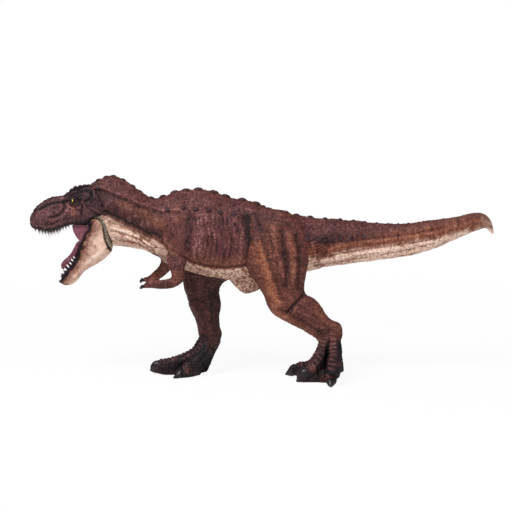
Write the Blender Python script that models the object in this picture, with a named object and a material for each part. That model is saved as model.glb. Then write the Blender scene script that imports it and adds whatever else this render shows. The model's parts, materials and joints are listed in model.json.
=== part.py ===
"""A standing toy dinosaur with its mouth wide open and a hinged lower jaw, as separate mouldings.

Metres, +Z up. The head points to -X, the tail to +X, and the figure's left side faces -Y. The origin
is on the ground under the middle of the figure. Every table is a list of shares of the size that its
comment names: along and up are shares of lengths, across is a share of a half width.
"""

import math

import bmesh
import bpy
import numpy as np

# Driving sizes of the figure
torso_length = 0.1506
torso_depth = 0.0676
torso_half_width = 0.0176
tail_length = 0.1176
head_length = 0.0414
head_half_width = 0.0114
jaw_half_width = 0.0108
leg_length = 0.0935
leg_half_width = 0.0092
stance_half_width = 0.012
arm_length = 0.0254
arm_half_width = 0.0033
shoulder_half_width = 0.0168

# Fits between the mouldings
seat_gap = 0.0003
overrun = 0.004

# Jaw hinge and the block that carries it
jaw_open_angle = math.radians(-54)
hinge_pin_diameter = 0.002
hinge_pin_length = 0.0196
jaw_lobe_radius = 0.0038
core_radius = 0.0183
core_half_width = 0.0086
core_front_reach = 0.0036
lobe_room = 0.0009
lining_radius = 0.0153

# Walls, teeth, tongue and eyes
lip_wall = 0.0011
jaw_floor_thickness = 0.0018
palate_thickness = 0.0016
gum_width = 0.0011
gum_height = 0.0017
tooth_length = 0.0034
tooth_width = 0.0011
tongue_half_width = 0.0035
eye_radius = 0.0012
nostril_radius = 0.0009
cheek_hollow_depth = 0.0008
brow_horn_height = 0.0018

# Pegs that join the mouldings
neck_peg_diameter = 0.008
neck_peg_length = 0.006
core_peg_diameter = 0.0045
lining_peg_diameter = 0.0035
lining_peg_length = 0.002
tail_peg_diameter = 0.008
tail_peg_length = 0.007
leg_peg_diameter = 0.007
leg_peg_length = 0.006
arm_peg_diameter = 0.003
arm_peg_length = 0.004
peg_socket_depth_gap = 0.0005

# Scutes along the back and the tail
scute_height = 0.0016
scute_radius = 0.0017
scute_sink = 0.0008
sole_sink = 0.0003

# How far along and how high the pieces sit, as shares of the sizes that carry them
axis_height_share = 1.005
leg_reach_share = 0.6209
hip_along_share = 0.81
shoulder_along_share = 0.379
shoulder_drop_share = 0.22
hinge_rise_share = 0.177
hinge_along_share = 0.056
neck_peg_drop_share = 0.24

# Back or front end, then the other end, then half width: (along, up, along, up, across).
# Torso, along in torso lengths from the neck's front, up in torso depths from the body's axis
torso_shares = (
    (0, 0.57, 0.094, -0.06, 0.56), (0.02, 0.592, 0.109, -0.062, 0.57),
    (0.049, 0.618, 0.126, -0.064, 0.58), (0.086, 0.64, 0.149, -0.07, 0.59),
    (0.126, 0.617, 0.173, -0.077, 0.61), (0.171, 0.555, 0.202, -0.086, 0.64),
    (0.22, 0.475, 0.237, -0.103, 0.68), (0.273, 0.415, 0.277, -0.155, 0.74),
    (0.326, 0.445, 0.317, -0.22, 0.82), (0.379, 0.488, 0.366, -0.27, 0.9),
    (0.432, 0.5, 0.419, -0.305, 0.955), (0.494, 0.505, 0.486, -0.345, 0.99),
    (0.557, 0.468, 0.552, -0.375, 1), (0.619, 0.42, 0.619, -0.4, 0.98),
    (0.681, 0.397, 0.681, -0.41, 0.94), (0.743, 0.355, 0.743, -0.4, 0.89),
    (0.805, 0.29, 0.805, -0.375, 0.83), (0.876, 0.26, 0.876, -0.35, 0.76),
    (0.938, 0.24, 0.938, -0.32, 0.69), (1, 0.22, 1, -0.285, 0.635),
)
# Pelvic keel under the belly, between the thighs, in the torso's shares
keel_shares = (
    (0.56, -0.3, 0.58, -0.36, 0.1), (0.595, -0.28, 0.605, -0.4, 0.24),
    (0.635, -0.27, 0.635, -0.475, 0.32), (0.675, -0.26, 0.67, -0.535, 0.36),
    (0.715, -0.26, 0.705, -0.53, 0.35), (0.75, -0.28, 0.74, -0.49, 0.28),
    (0.77, -0.32, 0.765, -0.42, 0.12),
)
# Swellings of the flank: (along, up, reach along, reach up, height) in torso lengths, depths and half widths
flank_shares = (
    (0.44, 0.02, 0.06, 0.22, 0.1), (0.3, 0.05, 0.08, 0.1, -0.07), (0.8, 0.06, 0.08, 0.16, 0.1),
    (0.67, -0.05, 0.025, 0.3, -0.1), (0.18, 0.3, 0.12, 0.12, 0.08),
)
# Tail, along in tail lengths from the torso's end, up in torso depths from the body's axis
tail_shares = (
    (0, 0.22, 0, -0.285, 0.635), (0.09, 0.21, 0.09, -0.252, 0.58), (0.18, 0.2, 0.18, -0.233, 0.52),
    (0.27, 0.182, 0.27, -0.22, 0.465), (0.36, 0.168, 0.36, -0.197, 0.415),
    (0.455, 0.166, 0.455, -0.175, 0.37), (0.545, 0.176, 0.55, -0.143, 0.325),
    (0.635, 0.2, 0.65, -0.093, 0.28), (0.72, 0.22, 0.74, -0.023, 0.235),
    (0.795, 0.242, 0.82, 0.035, 0.2), (0.86, 0.267, 0.88, 0.082, 0.165),
    (0.905, 0.276, 0.92, 0.11, 0.14), (0.945, 0.255, 0.945, 0.117, 0.115),
    (0.975, 0.2, 0.96, 0.105, 0.09), (0.99, 0.13, 0.97, 0.085, 0.065),
    (0.997, 0.075, 0.977, 0.06, 0.035),
)
# Skull, along in head lengths from the neck's top, up in head lengths from the jaw hinge
skull_shares = (
    (-1.003, 0.056, -0.998, -0.02, 0.16), (-0.976, 0.142, -0.955, -0.093, 0.4),
    (-0.911, 0.233, -0.887, -0.126, 0.52), (-0.83, 0.302, -0.806, -0.142, 0.6),
    (-0.734, 0.364, -0.702, -0.145, 0.65), (-0.637, 0.403, -0.605, -0.132, 0.68),
    (-0.54, 0.419, -0.492, -0.091, 0.7), (-0.444, 0.429, -0.379, -0.051, 0.75),
    (-0.363, 0.496, -0.282, -0.027, 0.83), (-0.282, 0.557, -0.2, -0.016, 0.9),
    (-0.185, 0.587, -0.105, 0, 0.97), (-0.089, 0.602, -0.01, 0.046, 1),
    (0.014, 0.594, 0.17, 0.123, 0.99), (0.06, 0.587, 0.26, 0.132, 0.97),
)
# Hollow of the upper jaw, in the skull's shares, its half width set by the skull's wall
palate_shares = (
    (-0.945, -0.02), (-0.9, 0.01), (-0.8, 0.035), (-0.65, 0.055), (-0.5, 0.075), (-0.35, 0.09),
    (-0.2, 0.1),
)
# Lower jaw shut, along in head lengths forward of the hinge, up in head lengths above it
jaw_shares = (
    (-0.06, 0.02, 0.15, -0.45, 0.93), (0.03, 0.075, 0.24, -0.48, 1), (0.14, 0.045, 0.355, -0.465, 1.01),
    (0.24, 0.027, 0.465, -0.435, 0.96), (0.35, 0.012, 0.565, -0.395, 0.87),
    (0.47, -0.01, 0.66, -0.35, 0.76), (0.595, -0.047, 0.765, -0.315, 0.67),
    (0.715, -0.077, 0.865, -0.31, 0.63), (0.84, -0.084, 0.96, -0.303, 0.58),
    (0.96, -0.074, 1.055, -0.268, 0.51), (1.065, -0.06, 1.12, -0.2, 0.39),
    (1.13, -0.075, 1.14, -0.125, 0.18),
)
# Legs, along in leg reaches from the hip, up in leg lengths, out in stance half widths
left_leg_shares = (
    (-0.11, 1.245, 0.09, 1.23, 0.67, 0.3), (-0.19, 1.159, 0.17, 1.144, 0.76, 0.7),
    (-0.21, 1.033, 0.215, 1.018, 0.85, 0.9), (-0.21, 0.911, 0.225, 0.896, 0.91, 0.99),
    (-0.19, 0.807, 0.22, 0.8, 0.95, 1), (-0.13, 0.704, 0.21, 0.709, 0.98, 0.94),
    (-0.08, 0.613, 0.21, 0.663, 1, 0.88), (-0.04, 0.519, 0.225, 0.633, 1.02, 0.83),
    (0.03, 0.466, 0.28, 0.602, 1.03, 0.81), (0.107, 0.425, 0.33, 0.552, 1.04, 0.77),
    (0.186, 0.387, 0.365, 0.491, 1.04, 0.7), (0.25, 0.347, 0.4, 0.452, 1.04, 0.63),
    (0.3, 0.309, 0.462, 0.423, 1.03, 0.57), (0.316, 0.27, 0.481, 0.352, 1.02, 0.55),
    (0.297, 0.235, 0.476, 0.265, 1.01, 0.56), (0.259, 0.19, 0.476, 0.178, 1, 0.62),
    (0.226, 0.138, 0.484, 0.105, 1, 0.68), (0.24, 0.064, 0.478, 0.041, 1, 0.7),
    (0.26, -0.02, 0.465, -0.02, 1, 0.64),
)
right_leg_shares = (
    (-0.16, 1.21, 0.05, 1.19, 0.67, 0.3), (-0.23, 1.154, 0.155, 1.048, 0.76, 0.7),
    (-0.31, 1.114, 0.13, 0.916, 0.85, 0.9), (-0.41, 1.053, 0.02, 0.815, 0.91, 0.97),
    (-0.505, 0.972, -0.107, 0.765, 0.95, 0.97), (-0.585, 0.891, -0.235, 0.722, 0.98, 0.92),
    (-0.645, 0.812, -0.325, 0.698, 1, 0.88), (-0.67, 0.732, -0.382, 0.662, 1.02, 0.83),
    (-0.66, 0.653, -0.402, 0.606, 1.03, 0.8), (-0.635, 0.565, -0.393, 0.551, 1.04, 0.76),
    (-0.615, 0.493, -0.39, 0.493, 1.04, 0.71), (-0.582, 0.417, -0.4, 0.435, 1.04, 0.65),
    (-0.56, 0.344, -0.398, 0.362, 1.03, 0.59), (-0.553, 0.276, -0.375, 0.294, 1.02, 0.57),
    (-0.582, 0.226, -0.372, 0.226, 1.01, 0.59), (-0.632, 0.182, -0.418, 0.154, 1, 0.65),
    (-0.69, 0.142, -0.457, 0.088, 1, 0.7), (-0.69, 0.061, -0.485, 0.038, 1, 0.7),
    (-0.66, -0.02, -0.52, -0.02, 1, 0.64),
)
# Toes: (along, out, up, half height, half width), along in leg reaches and the rest in leg lengths,
# out from the figure's middle
left_toe_shares = (
    (
        (0.35, 0.136, 0.054, 0.054, 0.046), (0.264, 0.136, 0.05, 0.051, 0.046),
        (0.2, 0.137, 0.04, 0.041, 0.039), (0.17, 0.138, 0.03, 0.026, 0.022),
        (0.15, 0.139, 0.012, 0.006, 0.006),
    ),
    (
        (0.34, 0.11, 0.064, 0.057, 0.044), (0.236, 0.06, 0.078, 0.056, 0.043),
        (0.168, 0.018, 0.072, 0.048, 0.037), (0.118, -0.008, 0.058, 0.034, 0.024),
        (0.075, -0.026, 0.028, 0.006, 0.006),
    ),
    (
        (0.4, 0.15, 0.07, 0.06, 0.045), (0.397, 0.21, 0.048, 0.05, 0.043),
        (0.394, 0.265, 0.038, 0.039, 0.038), (0.393, 0.302, 0.026, 0.022, 0.02),
        (0.395, 0.33, 0.01, 0.006, 0.006),
    ),
)
right_toe_shares = (
    (
        (-0.62, 0.13, 0.076, 0.076, 0.046), (-0.71, 0.13, 0.068, 0.068, 0.046),
        (-0.79, 0.13, 0.06, 0.06, 0.043), (-0.85, 0.13, 0.062, 0.048, 0.034),
        (-0.885, 0.13, 0.055, 0.027, 0.021), (-0.904, 0.13, 0.036, 0.006, 0.006),
    ),
    (
        (-0.56, 0.09, 0.062, 0.057, 0.046), (-0.62, 0.045, 0.05, 0.05, 0.045),
        (-0.672, 0.014, 0.043, 0.042, 0.038), (-0.703, -0.006, 0.027, 0.022, 0.02),
        (-0.73, -0.018, 0.009, 0.006, 0.006),
    ),
    (
        (-0.545, 0.16, 0.064, 0.057, 0.042), (-0.535, 0.215, 0.047, 0.047, 0.041),
        (-0.538, 0.265, 0.038, 0.039, 0.036), (-0.54, 0.302, 0.026, 0.022, 0.02),
        (-0.54, 0.33, 0.01, 0.006, 0.006),
    ),
)
# Arms, along and up in arm lengths from the shoulder, out in shoulder half widths
left_arm_shares = (
    (-0.26, 0.37, 0.34, 0.29, 0.6, 0.7), (-0.29, 0.16, 0.24, 0.08, 0.82, 0.96),
    (-0.225, -0.04, 0.19, -0.11, 0.92, 1), (-0.165, -0.2, 0.205, -0.29, 0.98, 0.94),
    (-0.17, -0.3, 0.14, -0.42, 1, 0.86), (-0.275, -0.345, -0.04, -0.55, 1, 0.78),
    (-0.42, -0.365, -0.275, -0.6, 0.98, 0.74), (-0.55, -0.355, -0.51, -0.61, 0.95, 0.72),
    (-0.67, -0.34, -0.67, -0.59, 0.93, 0.74), (-0.76, -0.37, -0.76, -0.57, 0.91, 0.62),
    (-0.8, -0.41, -0.8, -0.52, 0.9, 0.32),
)
right_arm_shares = (
    (-0.48, 0.31, 0.05, 0.21, 0.6, 0.7), (-0.5, 0.08, -0.05, 0.02, 0.82, 0.96),
    (-0.48, -0.07, -0.12, -0.16, 0.92, 1), (-0.52, -0.2, -0.2, -0.3, 0.98, 0.92),
    (-0.61, -0.31, -0.335, -0.44, 1, 0.84), (-0.7, -0.39, -0.46, -0.53, 0.99, 0.78),
    (-0.78, -0.465, -0.58, -0.63, 0.97, 0.74), (-0.85, -0.51, -0.685, -0.67, 0.95, 0.72),
    (-0.88, -0.555, -0.76, -0.67, 0.93, 0.52), (-0.89, -0.6, -0.82, -0.66, 0.92, 0.28),
)
# Fingers: (along, out, up, half height, half width) in arm lengths
left_finger_shares = (
    (
        (-0.7, 0.62, -0.41, 0.07, 0.07), (-0.84, 0.63, -0.375, 0.055, 0.055),
        (-0.93, 0.64, -0.375, 0.04, 0.035), (-0.99, 0.65, -0.4, 0.012, 0.012),
    ),
    (
        (-0.7, 0.58, -0.53, 0.07, 0.07), (-0.84, 0.58, -0.545, 0.055, 0.055),
        (-0.93, 0.585, -0.56, 0.04, 0.035), (-0.99, 0.59, -0.595, 0.012, 0.012),
    ),
)
right_finger_shares = (
    (
        (-0.8, 0.62, -0.55, 0.06, 0.06), (-0.9, 0.63, -0.56, 0.05, 0.05),
        (-0.98, 0.64, -0.6, 0.035, 0.03), (-1.03, 0.65, -0.65, 0.012, 0.012),
    ),
    (
        (-0.76, 0.58, -0.62, 0.06, 0.06), (-0.84, 0.58, -0.66, 0.05, 0.05),
        (-0.9, 0.585, -0.71, 0.035, 0.03), (-0.94, 0.59, -0.76, 0.012, 0.012),
    ),
)
# Tongue shut, in head lengths: along from the hinge, its top above the hinge, the lift of its foot off
# the mouth's floor, then its half width as a share of the tongue's
tongue_shares = (
    (0.385, 0.045, -0.08, 0.8), (0.414, 0.05, -0.06, 0.9), (0.44, 0.056, 0.01, 0.98), (0.48, 0.06, 0, 1),
    (0.54, 0.05, 0, 1), (0.62, 0.04, 0, 1), (0.7, 0.04, 0, 0.98), (0.8, 0.062, 0.02, 0.9),
    (0.88, 0.064, 0.05, 0.72), (0.93, 0.03, 0.085, 0.3),
)
# Teeth: the place of each one along its half row, then its length as a share of the longest
upper_tooth_shares = (
    (0.07, 0.4), (0.14, 0.5), (0.21, 0.62), (0.28, 0.75), (0.35, 0.86), (0.42, 0.95), (0.49, 1),
    (0.56, 0.92), (0.63, 0.98), (0.7, 0.8), (0.78, 0.62), (0.87, 0.5), (0.955, 0.42),
)
lower_tooth_shares = (
    (0.1, 0.45), (0.19, 0.55), (0.28, 0.62), (0.37, 0.72), (0.46, 0.85), (0.55, 0.8), (0.64, 0.9),
    (0.73, 0.75), (0.82, 0.68), (0.91, 0.6), (0.97, 0.5),
)
# Scutes along the back and the tail: share of the torso's or the tail's length
torso_scute_shares = (
    0.02, 0.06, 0.1, 0.145, 0.19, 0.232, 0.27, 0.312, 0.362, 0.415, 0.47, 0.542, 0.594, 0.665,
    0.729, 0.788, 0.85, 0.905, 0.965,
)
tail_scute_shares = (0.04, 0.125, 0.2, 0.265, 0.33, 0.4, 0.46, 0.52, 0.58)
# Small features of the skull: along and up in head lengths from the neck's top and the hinge
eye_place_share = (-0.3, 0.385)
nostril_place_share = (-0.9, 0.18)
cheek_hollow_place_share = (-0.56, 0.19)
cheek_hollow_reach_share = (0.15, 0.11)
brow_horn_place_share = (-0.36, 0.47)
brow_horn_reach_share = (0.06, 0.035)
brow_horn_out_share = 0.5
eye_out_share = 0.86
nostril_out_share = 0.93
nostril_stretch_share = 1.5

# How round the lips' and the mouth roof's outlines are: 0 is a box, 1 an ellipse
lip_roundness = 0.35
skull_top_roundness = 0.9
jaw_foot_roundness = 0.85
trough_roundness = 0.7
mouth_roof_roundness = 0.6

# How much narrower an outline's top is than its foot
torso_egg_share = 0.12
tail_egg_share = 0.05
skull_egg_share = 0.06

# A scute's waist, its width across, and a tooth's levels as (height, width, lean back) with its oval
scute_waist_share = 0.62
scute_across_share = 0.8
tooth_level_shares = ((-0.25, 1.0, 0.0), (0.45, 0.85, 0.04), (1.0, 0.28, 0.16))
tooth_oval_shares = (1.25, 0.8)
tooth_slim_share = 0.6
lower_gum_reach_shares = (0.45, 1.03)

# Heights on a leg: shares of the leg's length, and where they lie from the body's axis in torso depths
leg_mark_shares = (0.7, 1.3)
leg_mark_rise_shares = (-0.4219, 0.408)

# Meshes' fineness
smooth_angle = math.radians(50)
mouth_sides, mouth_steps = 16, 14
tongue_sides, tongue_steps = 10, 19
gum_sides, gum_steps = 6, 20
torso_sides, torso_steps = 24, 42
keel_sides, keel_steps = 12, 12
tail_sides, tail_steps = 16, 30
skull_sides, skull_steps = 20, 26
jaw_sides, jaw_steps = 16, 20
leg_sides, leg_steps = 16, 30
arm_sides, arm_steps = 8, 16
toe_sides, toe_steps = 8, 9
bead_sides, bead_rows = 10, 5
round_sides = 24
pin_sides = 16

# Places worked out from the sizes above
axis_height = leg_length * axis_height_share
nose_reach = head_length * -skull_shares[0][0]
tail_end_reach = torso_length + tail_length * tail_shares[-1][0]
neck_x = (nose_reach - tail_end_reach) / 2
tail_root_x = neck_x + torso_length
leg_reach = torso_length * leg_reach_share
hip_x = neck_x + torso_length * hip_along_share
shoulder_x = neck_x + torso_length * shoulder_along_share
shoulder_z = axis_height - torso_depth * shoulder_drop_share
hinge_x = neck_x + head_length * hinge_along_share
hinge_z = axis_height + torso_depth * hinge_rise_share
neck_origin = np.array((neck_x, axis_height))
neck_scale = np.array((torso_length, torso_depth))
neck_top = neck_origin + neck_scale * torso_shares[0][0:2]
neck_foot = neck_origin + neck_scale * torso_shares[0][2:4]
neck_slope = math.atan2(neck_foot[0] - neck_top[0], neck_top[1] - neck_foot[1])
neck_forward = np.array((-math.cos(neck_slope), -math.sin(neck_slope)))


def clear_scene():
    """Takes every object out of the scene."""
    for thing in list(bpy.data.objects):
        bpy.data.objects.remove(thing, do_unlink=True)


def linear(hex_colour):
    """An sRGB colour written as #rrggbb, as linear red, green, blue and alpha."""
    parts = [int(hex_colour[at : at + 2], 16) / 255 for at in (1, 3, 5)]
    return [part / 12.92 if part <= 0.04045 else ((part + 0.055) / 1.055) ** 2.4 for part in parts] + [1]


def finish(name, hex_colour, roughness, metallic=0.0):
    """A material with one colour, roughness and metallic value."""
    material = bpy.data.materials.new(name)
    material.use_nodes = True
    shader = material.node_tree.nodes["Principled BSDF"]
    shader.inputs["Base Color"].default_value = linear(hex_colour)
    shader.inputs["Roughness"].default_value = roughness
    shader.inputs["Metallic"].default_value = metallic
    return material


def smooth_rows(rows, steps):
    """Rows read from a smooth curve through the rows chosen by hand."""
    rows = np.asarray(rows, float)
    ends = np.vstack((2 * rows[0] - rows[1], rows, 2 * rows[-1] - rows[-2]))
    at = np.linspace(0, len(rows) - 1, steps)
    start = np.minimum(at.astype(int), len(rows) - 2)
    t = (at - start)[:, None]
    a, b, c, d = (ends[start + step] for step in range(4))
    return 0.5 * (2 * b + (c - a) * t + (2 * a - 5 * b + 4 * c - d) * t**2 + (3 * b - a - 3 * c + d) * t**3)


def rings_of(rows, sides, upper=1.0, lower=1.0, egg=0.0):
    """Closed outlines through rows of (x, z, x, z, centre y, half width): the row's two ends are the
    top and the foot of its outline, upper and lower tell how round those halves are (0 is a box, 1 an
    ellipse), and egg narrows the top and widens the foot."""
    angle = np.linspace(0, 2 * np.pi, sides, endpoint=False)
    power = np.where(np.sin(angle) > 0, upper, lower)
    rise = np.sign(np.sin(angle)) * np.abs(np.sin(angle)) ** power
    reach = np.sign(np.cos(angle)) * np.abs(np.cos(angle)) ** power
    top, foot = rows[:, 0:2], rows[:, 2:4]
    middle = (top + foot) / 2
    half = (top - foot) / 2
    x = middle[:, 0:1] + half[:, 0:1] * rise
    z = middle[:, 1:2] + half[:, 1:2] * rise
    y = rows[:, 4:5] + rows[:, 5:6] * reach * (1 - egg * rise)
    return np.stack((x, y, z), axis=2)


def widened(rows, gap):
    """Rows of the same outline, larger by the gap all round."""
    rows = np.array(rows)
    along = rows[:, 0:2] - rows[:, 2:4]
    along /= np.linalg.norm(along, axis=1)[:, None]
    rows[:, 0:2] += along * gap
    rows[:, 2:4] -= along * gap
    rows[:, 5] += gap
    return rows


def solid(name, points, faces, material=None, origin=(0, 0, 0)):
    """A closed mesh object with its faces turned out and its origin where it is told."""
    mesh = bpy.data.meshes.new(name)
    mesh.from_pydata([tuple(point) for point in np.asarray(points, float) - np.asarray(origin)], [], faces)
    work = bmesh.new()
    work.from_mesh(mesh)
    bmesh.ops.recalc_face_normals(work, faces=work.faces)
    if work.calc_volume(signed=True) < 0:
        bmesh.ops.reverse_faces(work, faces=work.faces)
    work.to_mesh(mesh)
    work.free()
    mesh.shade_smooth()
    mesh.set_sharp_from_angle(angle=smooth_angle)
    thing = bpy.data.objects.new(name, mesh)
    thing.location = origin
    bpy.context.scene.collection.objects.link(thing)
    if material:
        mesh.materials.append(material)
    return thing


def loft(name, rings, material=None, origin=(0, 0, 0)):
    """A solid through closed outlines, with a flat face at each end."""
    count, sides = rings.shape[:2]
    index = np.arange(count * sides).reshape(count, sides)
    turned = np.roll(index, -1, axis=1)
    quads = np.stack((index[:-1], turned[:-1], turned[1:], index[1:]), axis=2).reshape(-1, 4)
    faces = [tuple(int(corner) for corner in quad) for quad in quads]
    faces.append(tuple(int(corner) for corner in index[0]))
    faces.append(tuple(int(corner) for corner in index[-1]))
    return solid(name, rings.reshape(-1, 3), faces, material, origin)


def rod(name, start, end, radius, sides=round_sides, material=None, origin=(0, 0, 0)):
    """A cylinder between two points."""
    start, end = np.asarray(start, float), np.asarray(end, float)
    axis = (end - start) / np.linalg.norm(end - start)
    upright = abs(axis[2]) >= abs(axis[0]) + abs(axis[1])
    across = np.cross(axis, (1.0, 0.0, 0.0) if upright else (0.0, 0.0, 1.0))
    across /= np.linalg.norm(across)
    up = np.cross(axis, across)
    angle = np.linspace(0, 2 * np.pi, sides, endpoint=False)[:, None]
    circle = radius * (np.cos(angle) * across + np.sin(angle) * up)
    return loft(name, np.stack((start + circle, end + circle)), material, origin)


def block(name, outline, half_width, material=None, origin=(0, 0, 0)):
    """An outline of (x, z) points, extruded the same way to both sides of the figure's middle."""
    outline = np.asarray(outline, float)
    side = np.full(len(outline), half_width)
    rings = np.stack(
        [np.stack((outline[:, 0], side * way, outline[:, 1]), axis=1) for way in (-1, 1)]
    )
    return loft(name, rings, material, origin)


def side_of_curve(name, x, z, depth):
    """Everything between a side curve and the same curve moved up or down by the depth."""
    outline = list(zip(x, z)) + [(x[-1], z[-1] + depth), (x[0], z[0] + depth)]
    return block(name, outline, 2 * head_half_width)


def ball(name, centre, radii, sides=16, rows=9, material=None):
    """An ellipsoid with its poles along Y."""
    polar = np.linspace(0, np.pi, rows + 2)[1:-1][:, None]
    angle = np.linspace(0, 2 * np.pi, sides, endpoint=False)[None, :]
    x = centre[0] + radii[0] * np.sin(polar) * np.cos(angle)
    y = centre[1] + radii[1] * np.cos(polar) * np.ones_like(angle)
    z = centre[2] + radii[2] * np.sin(polar) * np.sin(angle)
    return loft(name, np.stack((x, y, z), axis=2), material)


def helper(thing):
    """Marks an object as a cutter or a filler that isn't part of the figure."""
    thing.hide_render = True
    thing.display_type = "WIRE"
    return thing


def combine(target, tool, operation):
    """Adds a Boolean of the helper object to the target."""
    step = target.modifiers.new(tool.name, "BOOLEAN")
    step.operation = operation
    step.solver = "EXACT"
    step.object = helper(tool)


def join(target, tool):
    combine(target, tool, "UNION")


def cut(target, tool):
    combine(target, tool, "DIFFERENCE")


def torso_rows(table=torso_shares, steps=torso_steps):
    """The torso's outlines as rows in metres."""
    rows = smooth_rows(table, steps)
    rows = rows * (torso_length, torso_depth, torso_length, torso_depth, torso_half_width)
    rows += (neck_x, axis_height, neck_x, axis_height, 0)
    return np.insert(rows, 4, 0, axis=1)


def torso_rings(gap=0.0):
    """The torso's surface, with its shoulders, hips and hollows, larger by the gap."""
    rows = torso_rows()
    rings = rings_of(widened(rows, gap) if gap else rows, torso_sides, egg=torso_egg_share)
    middle = rings[:, :, 1:2] / (rows[:, 5][:, None, None] + gap)
    for along, up, reach_along, reach_up, height in flank_shares:
        dx = (rings[:, :, 0:1] - neck_x - along * torso_length) / (reach_along * torso_length)
        dz = (rings[:, :, 2:3] - axis_height - up * torso_depth) / (reach_up * torso_depth)
        rings[:, :, 1:2] += middle * height * torso_half_width * np.exp(-(dx**2) - dz**2)
    return rings


def tail_rows(steps=tail_steps):
    """The tail's outlines as rows in metres, from a seat gap behind the torso."""
    rows = smooth_rows(tail_shares, steps)
    start = tail_root_x + seat_gap
    rows = rows * (tail_length, torso_depth, tail_length, torso_depth, torso_half_width)
    rows += (start, axis_height, start, axis_height, 0)
    return np.insert(rows, 4, 0, axis=1)


def scutes(name, rows, along_shares, start, length):
    """Low pointed scutes along the top of a run of rows, as one filler object."""
    points, faces = [], []
    for place, share in enumerate(along_shares):
        x = start + share * length
        behind, z, ahead = np.interp((x - scute_radius, x, x + scute_radius), rows[:, 0], rows[:, 1])
        lean = (ahead - behind) / (2 * scute_radius)
        angle = np.linspace(0, 2 * np.pi, 6, endpoint=False)
        first = len(points)
        for level, width in ((-scute_sink, 1.0), (scute_height / 2, scute_waist_share)):
            for turn in angle:
                dx = scute_radius * width * math.cos(turn)
                dy = scute_radius * width * math.sin(turn) * scute_across_share
                points.append((x + dx, dy, z + level + lean * dx))
        points.append((x, 0, z + scute_height))
        points.append((x, 0, z - scute_sink))
        for step in range(6):
            after = (step + 1) % 6
            faces.append((first + step, first + after, first + 6 + after, first + 6 + step))
            faces.append((first + 6 + step, first + 6 + after, first + 12))
            faces.append((first + after, first + step, first + 13))
    return solid(name, points, faces)


def neck_peg_ends(extra):
    """Both ends of the peg on the neck's front face that carries the skull, longer by extra."""
    seat = neck_top + (neck_foot - neck_top) * neck_peg_drop_share
    start = seat - neck_forward * overrun
    end = seat + neck_forward * (neck_peg_length + extra)
    return (start[0], 0, start[1]), (end[0], 0, end[1])


def neck_blocker(name):
    """Everything behind the neck's front face and one seat gap in front of it."""
    face = np.array((neck_top, neck_foot)) + neck_forward * seat_gap
    run = (neck_foot - neck_top) / np.linalg.norm(neck_foot - neck_top)
    far = 2 * torso_depth
    high, low = face[0] - run * far, face[1] + run * far
    back = -neck_forward * far
    return block(name, (high, low, low + back, high + back), far)


def make_torso(material):
    """Neck and trunk in one moulding, with the peg for the head and the sockets for the other pieces."""
    torso = loft("torso", torso_rings(), material)
    keel_rows = torso_rows(keel_shares, keel_steps)
    join(torso, loft("keel_filler", rings_of(keel_rows, keel_sides)))
    join(torso, scutes("torso_scutes", torso_rows(), torso_scute_shares, neck_x, torso_length))
    join(torso, rod("neck_peg", *neck_peg_ends(0), neck_peg_diameter / 2))
    z = core_peg_height()
    end = neck_foot[0] + overrun + peg_socket_depth_gap
    cut(torso, rod("core_peg_socket", (neck_top[0], 0, z), (end, 0, z), core_peg_diameter / 2 + seat_gap))
    z = tail_peg_height()
    start = tail_root_x - tail_peg_length - peg_socket_depth_gap
    stop = tail_root_x + overrun
    cut(torso, rod("tail_peg_socket", (start, 0, z), (stop, 0, z), tail_peg_diameter / 2 + seat_gap))
    for side, name in ((-1, "left"), (1, "right")):
        for limb, place, diameter, length in (
            ("leg", leg_peg_place(name), leg_peg_diameter, leg_peg_length),
            ("arm", arm_peg_place(), arm_peg_diameter, arm_peg_length),
        ):
            x, z = place
            inner = side * (flank_y(x, z) - length - peg_socket_depth_gap)
            outer = side * torso_half_width * 2
            radius = diameter / 2 + seat_gap
            cut(torso, rod(f"{limb}_peg_socket_{name}", (x, inner, z), (x, outer, z), radius))
    return torso


def tail_peg_height():
    return axis_height + torso_depth * (torso_shares[-1][1] + torso_shares[-1][3]) / 2


def core_peg_height():
    """Half way down the part of the neck's face that the throat core covers."""
    return (hinge_z + neck_foot[1]) / 2


def leg_peg_place(name):
    """Where the leg's peg enters the flank, as (x, z)."""
    table = left_leg_shares if name == "left" else right_leg_shares
    row = table[2]
    return hip_x + leg_reach * (row[0] + row[2]) / 2, leg_height((row[1] + row[3]) / 2)


def arm_peg_place():
    return shoulder_x, shoulder_z + arm_peg_diameter


def flank_y(x, z):
    """The torso's half width at a point of its side, without its swellings."""
    rows = torso_rows()
    nearest = rows[np.argmin(np.abs((rows[:, 0] + rows[:, 2]) / 2 - x))]
    rise = (z - (nearest[1] + nearest[3]) / 2) / ((nearest[1] - nearest[3]) / 2)
    return nearest[5] * math.sqrt(max(1 - rise * rise, 0))


def make_tail(material):
    """The tail, with its scutes and the peg that enters the torso."""
    rows = tail_rows()
    z = tail_peg_height()
    rings = rings_of(rows, tail_sides, egg=tail_egg_share)
    tail = loft("tail", rings, material, (tail_root_x, 0, z))
    join(tail, scutes("tail_scutes", rows, tail_scute_shares, tail_root_x, tail_length))
    start, stop = tail_root_x - tail_peg_length, tail_root_x + overrun
    join(tail, rod("tail_peg", (start, 0, z), (stop, 0, z), tail_peg_diameter / 2))
    return tail


def leg_height(share):
    """The height of a share of the leg's length: below the belly it follows the leg, above it the torso."""
    low, high = axis_height + torso_depth * np.array(leg_mark_rise_shares)
    return np.interp(share, (0, *leg_mark_shares), (0, low, high)) + np.minimum(share, 0) * leg_length


def leg_rows(table, side):
    """A leg's outlines as rows in metres."""
    rows = smooth_rows(table, leg_steps)
    rows[:, [0, 2]] = hip_x + leg_reach * rows[:, [0, 2]]
    rows[:, [1, 3]] = leg_height(rows[:, [1, 3]])
    return rows * (1, 1, 1, 1, side * stance_half_width, leg_half_width)


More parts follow.
